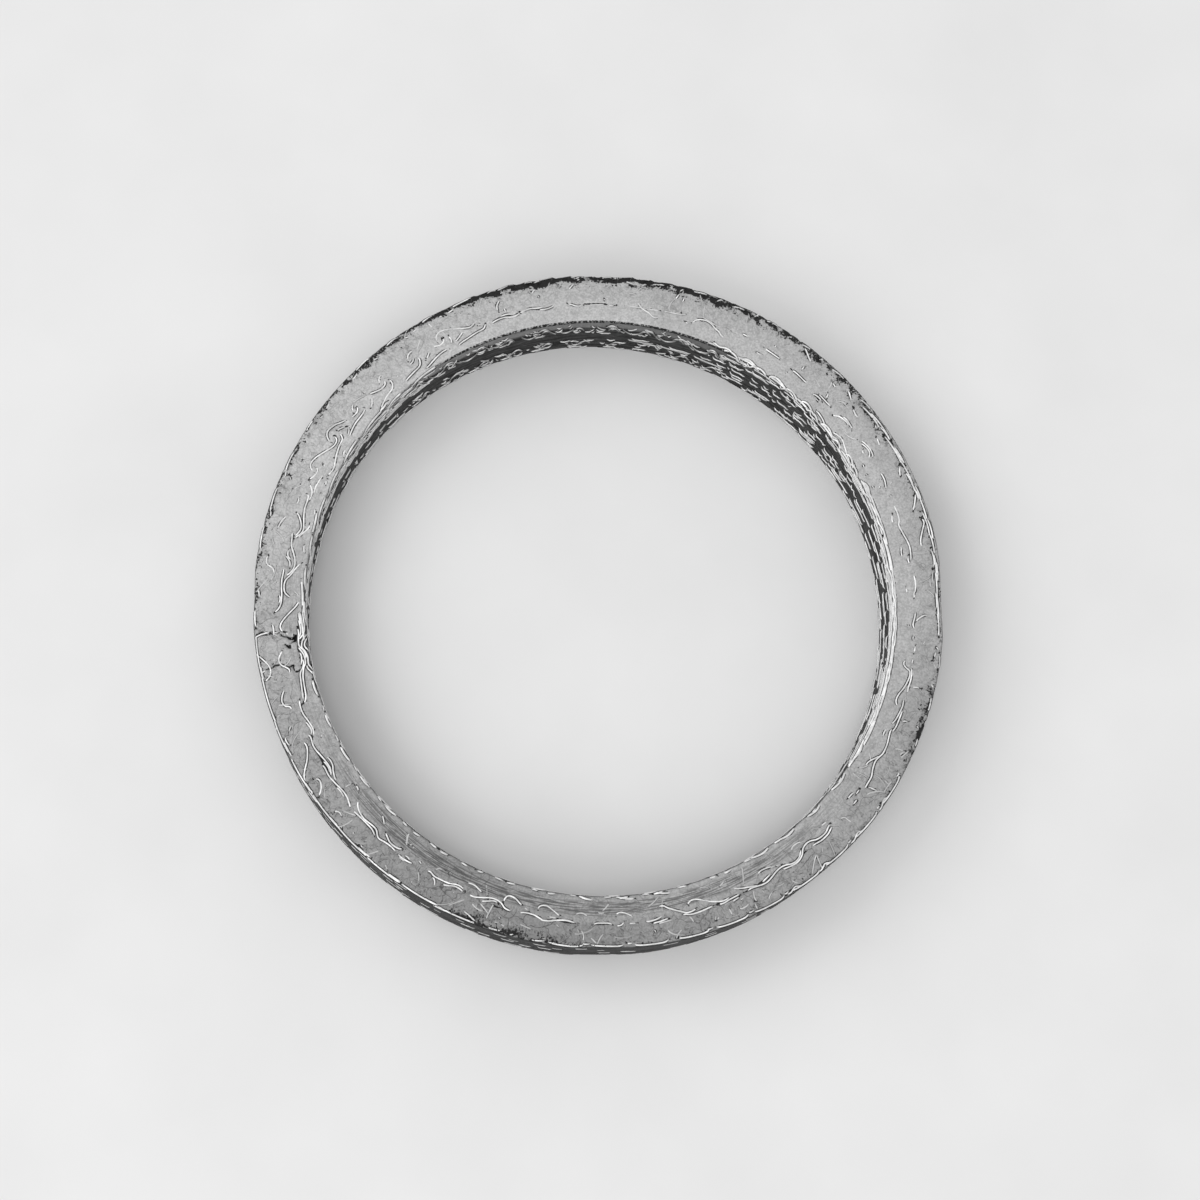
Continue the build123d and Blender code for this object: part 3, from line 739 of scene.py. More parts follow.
repeat("outer_strands", 112, 183, dash(25.8, 1.4, -0.08, -0.14), 0.7, shift=4.6, drift=0.1, skip=0.4)
for height, length, bare, turn in ((4.9, 3.4, 0.6, 0.5), (3.9, 3, 0.5, 3.4), (2.9, 3.6, 0.6, 1.5),
                                   (1.8, 3, 0.5, 4.6), (0.7, 4, 0.7, 2.6)):
    repeat("outer_strands", 0, 360, dash(outer_wall(height), length, 0.1, 0.1), bare, shift=turn, drift=0.16,
           skip=0.25)

# %% [markdown]
# ## The lower face
# Nobody sees it in use, but the die pressed it just like the upper one: a seam of two waving strands,
# an arch over every stitch, and loops towards the outer edge.

# %% Strands on the lower face
repeat("under_strands", 0, 360, [(-3.4, lower_face(24.35)), (-1.6, lower_face(24.1)), (0.2, lower_face(24)),
                                 (1.8, lower_face(24.25)), (3.3, lower_face(24.4))], 0.9)
repeat("under_strands", 0, 360, dash(lower_face(24.48), 4.6, -0.12), 0.8, shift=2, skip=0.2)
repeat("under_strands", 0, 360, [(-0.9, lower_face(24.1)), (-0.9, lower_face(23.7)),
                                 (-0.2, lower_face(23.46)),
                                 (1, lower_face(23.52)), (2.2, lower_face(23.8)), (3.6, lower_face(24.15))],
       0.8,
       shift=0.4, drift=0.12, skip=0.15)
repeat("under_strands", 0, 360, [(-1.5, lower_face(24.9)), (-0.3, lower_face(24.8)), (1, lower_face(25.1)),
                                 (2.4, lower_face(25.6))], 0.7, shift=2.2, drift=0.2, skip=0.35)
repeat("under_strands", 0, 360, dash(lower_face(22.5), 5, 0.04, 0.05), 0.9, shift=1.2, drift=0.05)
repeat("under_strands", 0, 360, dash(lower_face(26.02), 5, 0.04, 0.05), 0.8, shift=2.6, drift=0.05)

# %% [markdown]
# ## Strands that hardly show
# Between the loops that were wiped bright lie others, deeper and greyer. They are scattered by the seeded
# draw, most of them on the outer turn.

# %% Faint strands on the upper face
def faint(first, last, low, high, count, length):
    """Short arcs, each from its middle out: half along the ring, and half across it, in random shares."""
    for middle, across, turn, bend, size, shown in draw.uniform(0, 1, (count, 6)):
        middle, across = first + middle * (last - first), low + across * (high - low)
        turn, half = turn * math.pi, length * (0.3 + 0.7 * size) / 2
        along, over = math.degrees(half * math.cos(turn) / MIDDLE), half * math.sin(turn)
        bow = 0.7 * (bend - 0.5)
        lay("face_strands", 0.05 + 0.4 * shown, (middle - along, across - over),
            (middle - along * 0.4 - 2.4 * over * bow, across - over * 0.4 + 0.4 * along * bow),
            (middle + along * 0.4 - 2.4 * over * bow, across + over * 0.4 + 0.4 * along * bow),
            (middle + along, across + over))


faint(196, 345, 24.8, 25.8, 60, 1.8)
faint(200, 330, 22.9, 24, 24, 1.6)
faint(60, 180, 24.5, 25.8, 44, 1.5)
faint(345, 420, 24.6, 25.8, 20, 1.4)
faint(184, 196, 23.4, 25.6, 12, 1.2)
print(len(strands), "strands in all")
# %% [markdown]
# ## How near the wire is
# Graphite beside a strand is pressed down a little, and its colour there is darkened as painted shade of
# the crevice beside the wire. To know where that is, every strand is dropped on a fine map of the
# unrolled skin, and the map is blurred a little.
# Counting in a map is one array operation, while measuring distances strand by strand would be slow.

# %% A map of the wire on the unrolled skin
CELL = 0.06
MAP_ROWS = int(PERIMETER / CELL)
MAP_COLUMNS = int(2 * math.pi * MIDDLE / CELL)


def map_place(degrees, walk):
    """The map's row and column for a place on the skin: row = walk / cell, column = angle's share of a
    turn."""
    row = np.mod(walk / PERIMETER * MAP_ROWS, MAP_ROWS).astype(int)
    return row, np.mod(degrees / 360 * MAP_COLUMNS, MAP_COLUMNS).astype(int)


def wire_map():
    """Each sample of each strand adds its bareness to the cell that it lies in. Two rounds of averaging a
    cell with its neighbours spread that over a little less than a tenth of a millimetre."""
    counts = np.zeros((MAP_ROWS, MAP_COLUMNS))
    for strand in strands:
        degrees, across, _ = strand["line"].T
        cut = strand["run"][1] - strand["run"][0]
        np.add.at(counts, map_place(degrees, walk_of(across)), (0.3 + 0.7 * strand["bare"]) * cut / CELL)
    for _ in range(2):
        for axis in (0, 1):
            counts = 0.5 * counts + 0.25 * (np.roll(counts, 1, axis) + np.roll(counts, -1, axis))
    return counts


near_wire = wire_map()
print(f"wire map {near_wire.shape}, densest cell {near_wire.max():.2f}")

# %% [markdown]
# ## The graphite ring
# The graphite is one closed skin on a grid: angle one way, a walk round the section the other way.
# Its heights are sums of waves of many lengths, all of which close on themselves after one turn.
# Sculpting or a displacement texture would also do, but here every dent can be explained and measured.

# %% Waves that close on themselves
def waves(degrees, walk, size, seed, stretch=1.0, count=40):
    """Adds up cosines with random directions and phases, whose wavelengths lie round size, in millimetres.
    Along the ring they are stretched by a factor. Whole numbers of waves per turn make the ends meet."""
    source = np.random.default_rng(seed)
    length = size * source.uniform(0.6, 1.8, count)
    tilt = source.uniform(0, 2 * math.pi, count)
    around = np.round(2 * math.pi * MIDDLE / length * np.cos(tilt) / stretch)
    over = np.round(PERIMETER / length * np.sin(tilt))
    phase = source.uniform(0, 2 * math.pi, count)
    angle, share = np.radians(degrees), walk / PERIMETER * 2 * math.pi
    total = sum(np.cos(n * angle + m * share + p) for n, m, p in zip(around, over, phase))
    return total / math.sqrt(count / 2)


# %% [markdown]
# The grid is finer where it matters: many rows on the upper face and its edges, and many columns at the
# join, where thin cracks cross the face. The whole skin stays under 200,000 triangles.

# %% The grid of the graphite skin
join_columns = JOIN - 4 + np.arange(200) * (11 / 200)
other_columns = JOIN + 7 + np.arange(1010) * (349 / 1010)
columns = np.concatenate([join_columns, other_columns])
spans = ((0, 1, 7), (1, 2, 6), (2, 3, 30), (3, 4, 8), (4, 5, 11), (5, 6, 4), (6, 7, 6), (7, 8, 4), (8, 9, 4))
rows = np.concatenate([np.linspace(STOPS[a], STOPS[b], n, endpoint=False) for a, b, n in spans])
DEGREES, WALK = np.meshgrid(columns, rows, indexing="ij")
print(len(columns), "columns by", len(rows), "rows,", 2 * DEGREES.size, "triangles")

# %% Where the face is ragged, where the turns meet, and where the join has cracked
radius, height, facing_out, facing_up = section(WALK)
outer_band = ease(radius, 25.3, 25.95)
frayed = between(DEGREES, (28, 0), (36, 0.6), (60, 0.8), (82, 1), (112, 1), (122, 0.8), (183, 0.6), (190, 0),
                 (243, 0), (247, 0.9), (262, 0.7), (266, 0), (332, 0), (337, 0.9), (344, 0.6), (350, 0))
ragged = between(DEGREES, (0, 0.45), (20, 0.55), (34, 0.9), (60, 0.9), (76, 1), (112, 0.8), (130, 0.6),
                 (183, 0.45),
                 (192, 0.15), (240, 0.15), (248, 0.9), (262, 0.8), (268, 0.3), (328, 0.35), (336, 1),
                 (344, 0.9), (350, 0.4))
seam_radius = between(DEGREES, (0, 24.15), (30, 24.2), (45, 24), (60, 24.2), (70, 24.3), (80, 23.9),
                      (105, 23.92),
                      (120, 24), (150, 24), (160, 24.2), (172, 24.1), (187, 24.2), (200, 24), (214, 24.35),
                      (240, 24.45), (290, 24.5), (312, 24.4), (320, 24.4), (332, 24.2), (345, 24.3))
seam = np.exp(-((radius - seam_radius + 0.03 * waves(DEGREES, WALK, 3, 21)) / 0.06) ** 2) * (facing_up > 0.9)


def crack(places, width):
    """A crack across the face: 1 on a line through the places, falling off over its width in millimetres."""
    at_angle, at_radius = np.array(places, float).T
    angle = np.interp(radius, at_radius, at_angle)
    away = np.radians(DEGREES - angle - 0.25 * waves(DEGREES, WALK, 0.9, 22)) * radius
    inside = (radius > at_radius[0]) & (radius < at_radius[-1]) & (facing_up > 0)
    return np.exp(-(away / width) ** 2) * inside


cracks = crack([(187.4, 22.9), (187.6, 23.5), (187, 24), (186, 24.6), (186.1, 25.6), (186.6, 26.15)], 0.08)
cracks += crack([(188.2, 23.2), (188.9, 23.7), (188.4, 24.1)], 0.07)
cracks += 0.9 * crack([(193.5, 23), (193.4, 23.5), (192.6, 24.1), (192.1, 24.6), (192.1, 25.4)], 0.05)
cracks *= 0.6 + 0.8 * ease(waves(DEGREES, WALK, 0.5, 27), -1, 1)
pit = (np.exp(-(np.radians(DEGREES - 187.5) * radius / 0.26) ** 2 - ((radius - 23.24) / 0.17) ** 2)
       * (facing_up > 0))

# %% The heights of the skin, and the shape that they give
wire_here = near_wire[map_place(DEGREES, WALK)]
crumbs = waves(DEGREES, WALK, 0.55, 23)
lumps = np.clip(np.abs(crumbs) - 0.5, 0, 2) * np.sign(crumbs)
lift = 0.012 * waves(DEGREES, WALK, 3.5, 24) + 0.006 * waves(DEGREES, WALK, 1.1, 25)
lift += 0.045 * lumps * ragged * outer_band
seam *= between(DEGREES, (0, 0), (58, 0), (64, 0.7), (108, 0.8), (114, 0), (194, 0), (204, 0.5), (312, 0.5),
                (316, 0),
                (324, 0.2), (350, 0.2)) * (0.5 + 0.5 * waves(DEGREES, WALK, 1.5, 26))
seam = np.clip(seam, 0, 1)
pressed_and_shaded = ease(wire_here, 0.03, 0.32)
lift -= 0.06 * seam + 0.025 * pressed_and_shaded + 0.2 * np.clip(cracks, 0, 1) + 0.2 * pit
outward = np.maximum(facing_out * (radius > MIDDLE), np.clip(-facing_up, 0, 1))
lift = np.where(lift > 0, lift * (1 - 0.8 * outward), lift)
reach = radius + swell(DEGREES, radius, height) + lift * facing_out
angle = np.radians(DEGREES)
skin = np.stack([reach * np.cos(angle), reach * np.sin(angle), np.maximum(height + lift * facing_up, 0)], -1)
print(f"heights from {lift.min():.3f} to {lift.max():.3f} mm")
# %% [markdown]
# ## From arrays to a Blender mesh
# Points and faces go in whole, numbers that the materials read go in as named attributes of the points,
# and every piece is told which body it rides on; the CAD node that it stands for is hidden, and its finish is
# given further down.

# %% A mesh from arrays
BOX = cad_box[1][0] / MM - 0.005
CEILING = cad_box[1][2] / MM - 0.005


def make_piece(name, points, faces, attributes, node=None):
    """Points are millimetres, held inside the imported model's box. Attributes are one number for each
    point."""
    points[:, :2] = np.clip(points[:, :2], -BOX, BOX)
    points[:, 2] = np.clip(points[:, 2], 0, CEILING)
    mesh = bpy.data.meshes.new(name)
    mesh.from_pydata(points * MM, [], faces)
    mesh.validate()
    for title, values in attributes.items():
        layer = mesh.attributes.new(title, "FLOAT", "POINT")
        layer.data.foreach_set("value", np.asarray(values, np.float32).ravel())
    mesh.polygons.foreach_set("use_smooth", np.ones(len(mesh.polygons), bool))
    mesh.update()
    piece = bpy.data.objects.new(name, mesh)
    bpy.context.scene.collection.objects.link(piece)
    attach(piece, "root")
    if node:
        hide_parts(node)
    print(f"{name}: {len(mesh.vertices)} points, {len(mesh.polygons)} faces")
    return piece


def ring_faces(many, few):
    """Four-sided faces of a grid that closes both ways: each joins a point, its neighbour in the
    next row, that one's neighbour in the next column, and the point's own."""
    i, j = np.meshgrid(np.arange(many), np.arange(few), indexing="ij")
    here, right = i * few + j, (i + 1) % many * few + j
    up, across = i * few + (j + 1) % few, (i + 1) % many * few + (j + 1) % few
    return np.stack([here, up, across, right], -1).reshape(-1, 4)


# %% The graphite ring
soft_edge = ease(height, 4.5, 4.9) * (radius < MIDDLE)
soft_edge = soft_edge * between(DEGREES, (50, 0), (70, 0.25), (92, 0.35), (150, 0.45), (185, 0.2), (200, 0))
worn = 1 - 0.55 * ease(waves(DEGREES, WALK, 0.8, 31), 0.6, 2) * ragged * outer_band
# Burnish and painted wall shade: the faces take the light burnished colour, and the walls the near-black one,
# partly unburnished graphite and partly painted shade of walls turned from the light.
burnish_and_wall_shade = np.maximum(ease(facing_up, 0.35, 0.95), soft_edge) * worn
under_burnish = ease(-facing_up, 0.5, 0.95)
inner_band = ease(radius, 22.7, 23) * (1 - ease(radius, 23.7, 24.1)) * (facing_up > 0.9)
# The streaks are striations of the tape. They are made strong only at 210 to 318 degrees, towards the front,
# as painted shade of the inner band there.
streaks_and_front_shade = inner_band * between(DEGREES, (150, 0.1), (210, 0.35), (228, 1), (300, 0.9), (318, 0.25), (350, 0))
# Painted sheen and shade, by angle round the ring: the upper face is made lighter round 105 to 155 degrees
# and darker towards the front, round 225 to 290 degrees, in place of the sheen of the burnish under these
# lights. On the walls the factor is lowered at 240 to 262 degrees, where the side panel lights the outer
# wall, and raised round 200 degrees.
inner_painted_sheen = between(DEGREES, (0, 0.9), (45, 0.96), (105, 1), (125, 1.03), (155, 1.03), (180, 0.84),
                     (205, 0.79),
                     (225, 0.66), (240, 0.53), (262, 0.62), (290, 0.79), (315, 0.8), (335, 0.87))
outer_painted_sheen = between(DEGREES, (0, 0.82), (45, 0.86), (100, 0.88), (150, 0.96), (180, 0.86), (195, 0.75),
                     (210, 0.64),
                     (232, 0.51), (270, 0.46), (290, 0.56), (315, 0.64), (345, 0.68))
wall_painted_shade = between(DEGREES, (0, 1), (200, 1.15), (225, 1.05), (240, 0.8), (262, 0.8), (290, 1), (320, 1))
painted_sheen_shade = inner_painted_sheen + (outer_painted_sheen - inner_painted_sheen) * ease(radius, 23.6, 24.9)
painted_sheen_shade = wall_painted_shade + (painted_sheen_shade - wall_painted_shade) * ease(facing_up, 0.2, 0.8)
patchy = 0.35 + 0.65 * ease(waves(DEGREES, WALK, 0.45, 33), -0.3, 1)
# Dark marks and painted shade: the cracks, the pit and the seam darken the graphite as its own dark joints.
# The darkening beside the wires, and among the tangled strands at the join, is painted shade of the crevices
# there.
dark_marks_and_shade = np.clip(0.75 * pressed_and_shaded * patchy + cracks + pit + ease(seam, 0.2, 0.7), 0, 1)
tangle_shade_zone = between(DEGREES, (182, 0), (185.5, 1), (191.5, 1),
                 (194, 0)) * (1 - ease(radius, 23, 23.4)) * (facing_up > 0)
dark_marks_and_shade = np.maximum(dark_marks_and_shade, 0.9 * tangle_shade_zone * ease(wire_here, 0.01, 0.12))
grime_and_edge_shadow = ease(radius, 25.1, 25.8) * ragged ** 2 * (0.55 + 0.3 * waves(DEGREES, WALK, 0.5, 32, stretch=2))
# Partly torn graphite, partly painted shadow: a dark line along the outer edge under the proud loops, darkest
# at 80 to 115 degrees.
dark_arc = between(DEGREES, (50, 0), (80, 1.5), (115, 1.5), (140, 0.5), (190, 0))
torn_and_shadowed = ease(waves(DEGREES, WALK, 0.6, 34, stretch=2) + dark_arc, -1, 0.6)
dark_rim = frayed * torn_and_shadowed * ease(radius + 0.2 * frayed + 0.1 * waves(DEGREES, WALK, 1, 35, stretch=2), 25.82,
                                26)
grime_and_edge_shadow = np.maximum(grime_and_edge_shadow, dark_rim * (facing_up > 0))
# Painted shadow along the rounded bore edge, strongest at 60 to 118 degrees.
bore_edge_shadow = (WALK > STOPS[1]) * (WALK < STOPS[2]) * between(DEGREES, (45, 0), (60, 0.7), (118, 0.6),
                                                            (135, 0.3), (180, 0))
grime_and_edge_shadow = np.maximum(grime_and_edge_shadow, bore_edge_shadow)
creased = between(DEGREES, (0, 0.6), (30, 0.25), (60, 0.4), (110, 0.6), (180, 0.7), (215, 1), (300, 1),
                  (340, 0.7))
creased = creased * (0.6 + 0.4 * ease(radius, 23.8, 24.6)) * burnish_and_wall_shade
pitted = np.clip(0.1 + 0.9 * ease(radius, 25, 26) * ragged, 0, 1) * burnish_and_wall_shade
graphite_ring = make_piece(
    "graphite_body", skin.reshape(-1, 3), ring_faces(*DEGREES.shape),
    {"burnish_and_wall_shade": np.maximum(burnish_and_wall_shade, 0.9 * under_burnish), "streaks_and_front_shade": streaks_and_front_shade, "painted_sheen_shade": painted_sheen_shade,
     "dark_marks_and_shade": np.maximum(dark_marks_and_shade, 0.85 * grime_and_edge_shadow), "pitted": pitted, "creased": creased},
    "graphite_ring")

# %% [markdown]
# ## The wire
# Each strand is a tube sunk so far that only its back shows, and its ends dive under the skin. Around the
# tube, one number says how squarely a point faces the rubbing: straight out of the upper face, and half
# outwards, half upwards on the walls, where the core of the die was drawn up. The material reads it as wiped
# steel and as a painted highlight: what faces that way is bright, and the flanks are dark, partly smeared
# graphite and partly painted shade, which draws the thin dark line beside each strand.

# %% Tubes along the strands
AROUND = np.radians([0, 36, 72, 110, 180, 250, 288, 324])
# The skirt: a flat dark sheet on each side of a bare wire, painting the shade of the crevice there, partly
# also smeared graphite.
SHADE_SKIRT_WIDTH = 0.06
SHADE_SKIRT_LIFT = 0.004
SHADE_SKIRT = np.array([0, 0, 0, 1, 0, -1, 0, 0])
SHOWING = {"face_strands": 0.038, "rim_strands": 0.06, "bore_strands": 0.13, "outer_strands": 0.05,
           "under_strands": 0.045}


def strand_rings(strand):
    """Points of one tube. Along the strand the centre lies at (showing - wire radius) over the skin, and goes
    down at both ends. Around it, point = centre + radius * (cos(turn) * out + sin(turn) * side). Two of the
    eight points are pulled out sideways instead, just over the skin, as a skirt that is partly smeared
    graphite and partly a dark sheet painting the shade beside the wire: the wire meets the skin at the root
    of (radius^2 - depth^2) from its axis, and the skirt goes on from there."""
    degrees, across, lifted = strand["line"].T
    run = strand["run"]
    ends = np.minimum(run, run[-1] - run)
    fade = ease(ends, 0, min(0.35, run[-1] / 2.5))
    wander = 0.5 + 0.5 * np.sin(run * 2.1 + degrees[0] * 7)
    showing = SHOWING[strand["piece"]] * (0.45 + 0.55 * strand["bare"]) - 0.01 * wander
    centre = (showing + 0.05) * fade - 0.05 - WIRE_RADIUS
    points, out = on_skin(degrees, across, centre + lifted)
    along = np.gradient(points, axis=0)
    side = np.cross(along, out)
    side /= np.linalg.norm(side, axis=1, keepdims=True)
    turn = AROUND[None, :, None]
    thick = WIRE_RADIUS * (0.3 + 0.7 * ease(ends, 0, 0.3))[:, None, None]
    facing = np.cos(turn) * out[:, None] + np.sin(turn) * side[:, None]
    bare = strand["bare"] * (0.4 + 0.6 * fade) * (0.85 + 0.15 * np.cos(run * 3.3 + degrees[-1]))
    # The crest number is partly a painted highlight and shade: points that face up, and out on the walls,
    # towards the lights above, come out bright, and the flanks dark.
    rubbed = (0.5 if strand["piece"] == "bore_strands" else 1) * out + [0, 0, 1]
    rubbed /= np.linalg.norm(rubbed, axis=1, keepdims=True) + 1e-9
    crest_highlight = np.einsum("ijk,ik->ij", facing, rubbed)
    wide = {"rim_strands": 1.35, "bore_strands": 1.2}.get(strand["piece"], 1)
    rings = points[:, None] + thick * (np.cos(turn) * out[:, None] + wide * np.sin(turn) * side[:, None])
    if strand["bare"] > 0.5 and strand["piece"] != "bore_strands":
        # Skirt points take the dark flank colour: painted shade beside the wire.
        crest_highlight = crest_highlight - 2 * np.abs(SHADE_SKIRT)
        reach = SHADE_SKIRT_WIDTH + np.sqrt(np.maximum(WIRE_RADIUS ** 2 - np.minimum(centre, 0) ** 2, 0))
        spread = 0.2 + 0.8 * fade
        shade_skirt = (reach * spread)[:, None, None] * SHADE_SKIRT[None, :, None] * side[:, None]
        shade_skirt = shade_skirt + ((SHADE_SKIRT_LIFT - centre) * fade)[:, None, None] * out[:, None]
        rings = np.where(SHADE_SKIRT[None, :, None] != 0, points[:, None] + shade_skirt, rings)
    return rings, np.broadcast_to(bare[:, None], crest_highlight.shape), crest_highlight


def strand_faces(lengths):
    """Quads between neighbouring rings of the same strand, and one face that closes each end."""
    sides = len(AROUND)
    first = np.concatenate([[0], np.cumsum(lengths)[:-1]])
    last = first + np.array(lengths) - 1
    ring = np.setdiff1d(np.arange(sum(lengths)), last)[:, None]
    j = np.arange(sides)[None]
    k = (j + 1) % sides
    quads = np.stack([ring * sides + j, ring * sides + k, (ring + 1) * sides + k, (ring + 1) * sides + j], -1)
    tips = np.concatenate([(first[:, None] * sides + np.arange(sides)[::-1]),
                           last[:, None] * sides + np.arange(sides)])
    return quads.reshape(-1, 4).tolist() + tips.tolist()


def make_wire(name):
    """All strands of one piece become one mesh of closed tubes, carried together."""
    rings, bare, crest_highlight = zip(*[strand_rings(s) for s in strands if s["piece"] == name])
    points = np.concatenate(rings).reshape(-1, 3)
    points[:, 2] = np.clip(points[:, 2], 0.002, None)
    return make_piece(name, points, strand_faces([len(r) for r in rings]),
                      {"bare": np.concatenate(bare), "crest_highlight": np.concatenate(crest_highlight)},
                      "knitted_wire")


wires = [make_wire(name) for name in ("face_strands", "rim_strands", "bore_strands", "outer_strands",
                                      "under_strands")]

# %% [markdown]
# ## Crumbs at the outer edge
# Where the die's two halves met, graphite was squeezed out between the loops and broke off in crumbs.
# Each is the same lump of twenty faces, squashed, turned and set into the skin by a seeded draw.

# %% Crumbs
def lump():
    """An icosahedron: twelve points whose coordinates are 0, 1 and the golden ratio in turn."""
    g = (1 + math.sqrt(5)) / 2
    points = [(s, t * g, 0) for s in (-1, 1) for t in (-1, 1)] + [(0, s, t * g) for s in (-1,
                                                                                          1) for t in (-1, 1)]
    points += [(t * g, 0, s) for s in (-1, 1) for t in (-1, 1)]
    points = np.array(points) / math.hypot(1, g)
    near = np.linalg.norm(points[:, None] - points[None], axis=-1) < 1.2
    faces = [(a, b, c) for a in range(12) for b in range(a + 1, 12) for c in range(b + 1, 12)
             if near[a, b] and near[b, c] and near[a, c]]
    turned = [f if np.dot(np.cross(points[f[1]] - points[f[0]], points[f[2]] - points[f[0]]),
                          points[f[0]]) > 0
              else f[::-1] for f in faces]
    return points, np.array(turned)


def scatter_crumbs(count):
    """Draws places along the outer edge, keeps more of them where the edge is ragged, and gives each a size
    of 0.04 to 0.12 mm and a random turn: a random 3 by 3 matrix made square by its QR factors."""
    degrees = draw.uniform(0, 360, count)
    across = OUTER + draw.normal(-0.12, 0.16, count)
    kept = draw.uniform(0, 1.1, count) < np.interp(degrees, columns % 360, ragged[:, 0], period=360) ** 2
    degrees, across = degrees[kept], across[kept]
    size = draw.uniform(0.035, 0.11, len(degrees))
    centre, _ = on_skin(degrees, across, -0.2 * size)
    points, faces = lump()
    turns = np.linalg.qr(draw.normal(size=(len(degrees), 3, 3)))[0]
    turns *= np.sign(np.linalg.det(turns))[:, None, None]
    squash = draw.uniform(0.45, 1, (len(degrees), 1, 3))
    bumpy = 1 + 0.18 * draw.normal(size=(len(degrees), 12, 1))
    placed = centre[:, None] + size[:, None, None] * ((points * squash * bumpy) @ turns)
    flat = placed.reshape(-1, 3)
    flat[:, :2] *= np.minimum(1, (OUTER + WIRE_RADIUS) / np.hypot(flat[:, 0], flat[:, 1]))[:, None]
    flat[:, 2] = np.clip(flat[:, 2], 0.01, HEIGHT + 0.09)
    many = faces[None] + 12 * np.arange(len(degrees))[:, None, None]
    shade = np.repeat(draw.uniform(0, 1, len(degrees)), 12)
    return flat, many.reshape(-1, 3), shade


crumb_points, crumb_faces, crumb_shade = scatter_crumbs(3600)
crumb_zero = np.zeros(len(crumb_points))
crumbs_piece = make_piece("edge_crumbs", crumb_points, crumb_faces.tolist(),
                          {"burnish_and_wall_shade": 0.5 * crumb_shade, "streaks_and_front_shade": crumb_zero, "painted_sheen_shade": crumb_zero + 0.9,
                           "dark_marks_and_shade": 0.35 + 0.6 * crumb_shade, "pitted": crumb_zero, "creased": crumb_zero})
# %% [markdown]
# ## Materials
# Blender mixes light in linear numbers, while colours are read off a chart as sRGB hex, so one function
# turns the second into the first. A second one adds a node of any kind, sets it and links it.
# A colour Mix node takes its factor at input 0 and its two colours at 6 and 7. A Map Range node takes the
# value at 0, the range that it comes in at 1 and 2, and the range that it leaves in at 3 and 4.

# %% Two helpers for materials
def linear(code):
    """Each channel c of an sRGB hex colour becomes ((c + 0.055) / 1.055) ^ 2.4, or c / 12.92 below 0.04."""
    c = np.array([int(code[i:i + 2], 16) for i in (1, 3, 5)]) / 255
    return (*np.where(c > 0.04045, ((c + 0.055) / 1.055) ** 2.4, c / 12.92).tolist(), 1.0)


def add(tree, kind, inputs=None, output=None, **settings):
    """Adds a node and returns one of its outputs: the named one, or else the first that is in use.
    Settings are the node's properties, and inputs are values, or outputs of other nodes that feed it."""
    made = tree.nodes.new("ShaderNode" + kind)
    for key, value in settings.items():
        setattr(made, key, value)
    for key, value in (inputs or {}).items():
        if isinstance(value, bpy.types.NodeSocket):
            tree.links.new(value, made.inputs[key])
        else:
            made.inputs[key].default_value = value
    if output is not None:
        return made.outputs[output]
    return next((socket for socket in made.outputs if socket.enabled), None)


def new_material(name):
    """An empty node tree."""
    material = bpy.data.materials.new(name)
    material.use_nodes = True
    material.node_tree.nodes.clear()
    return material, material.node_tree
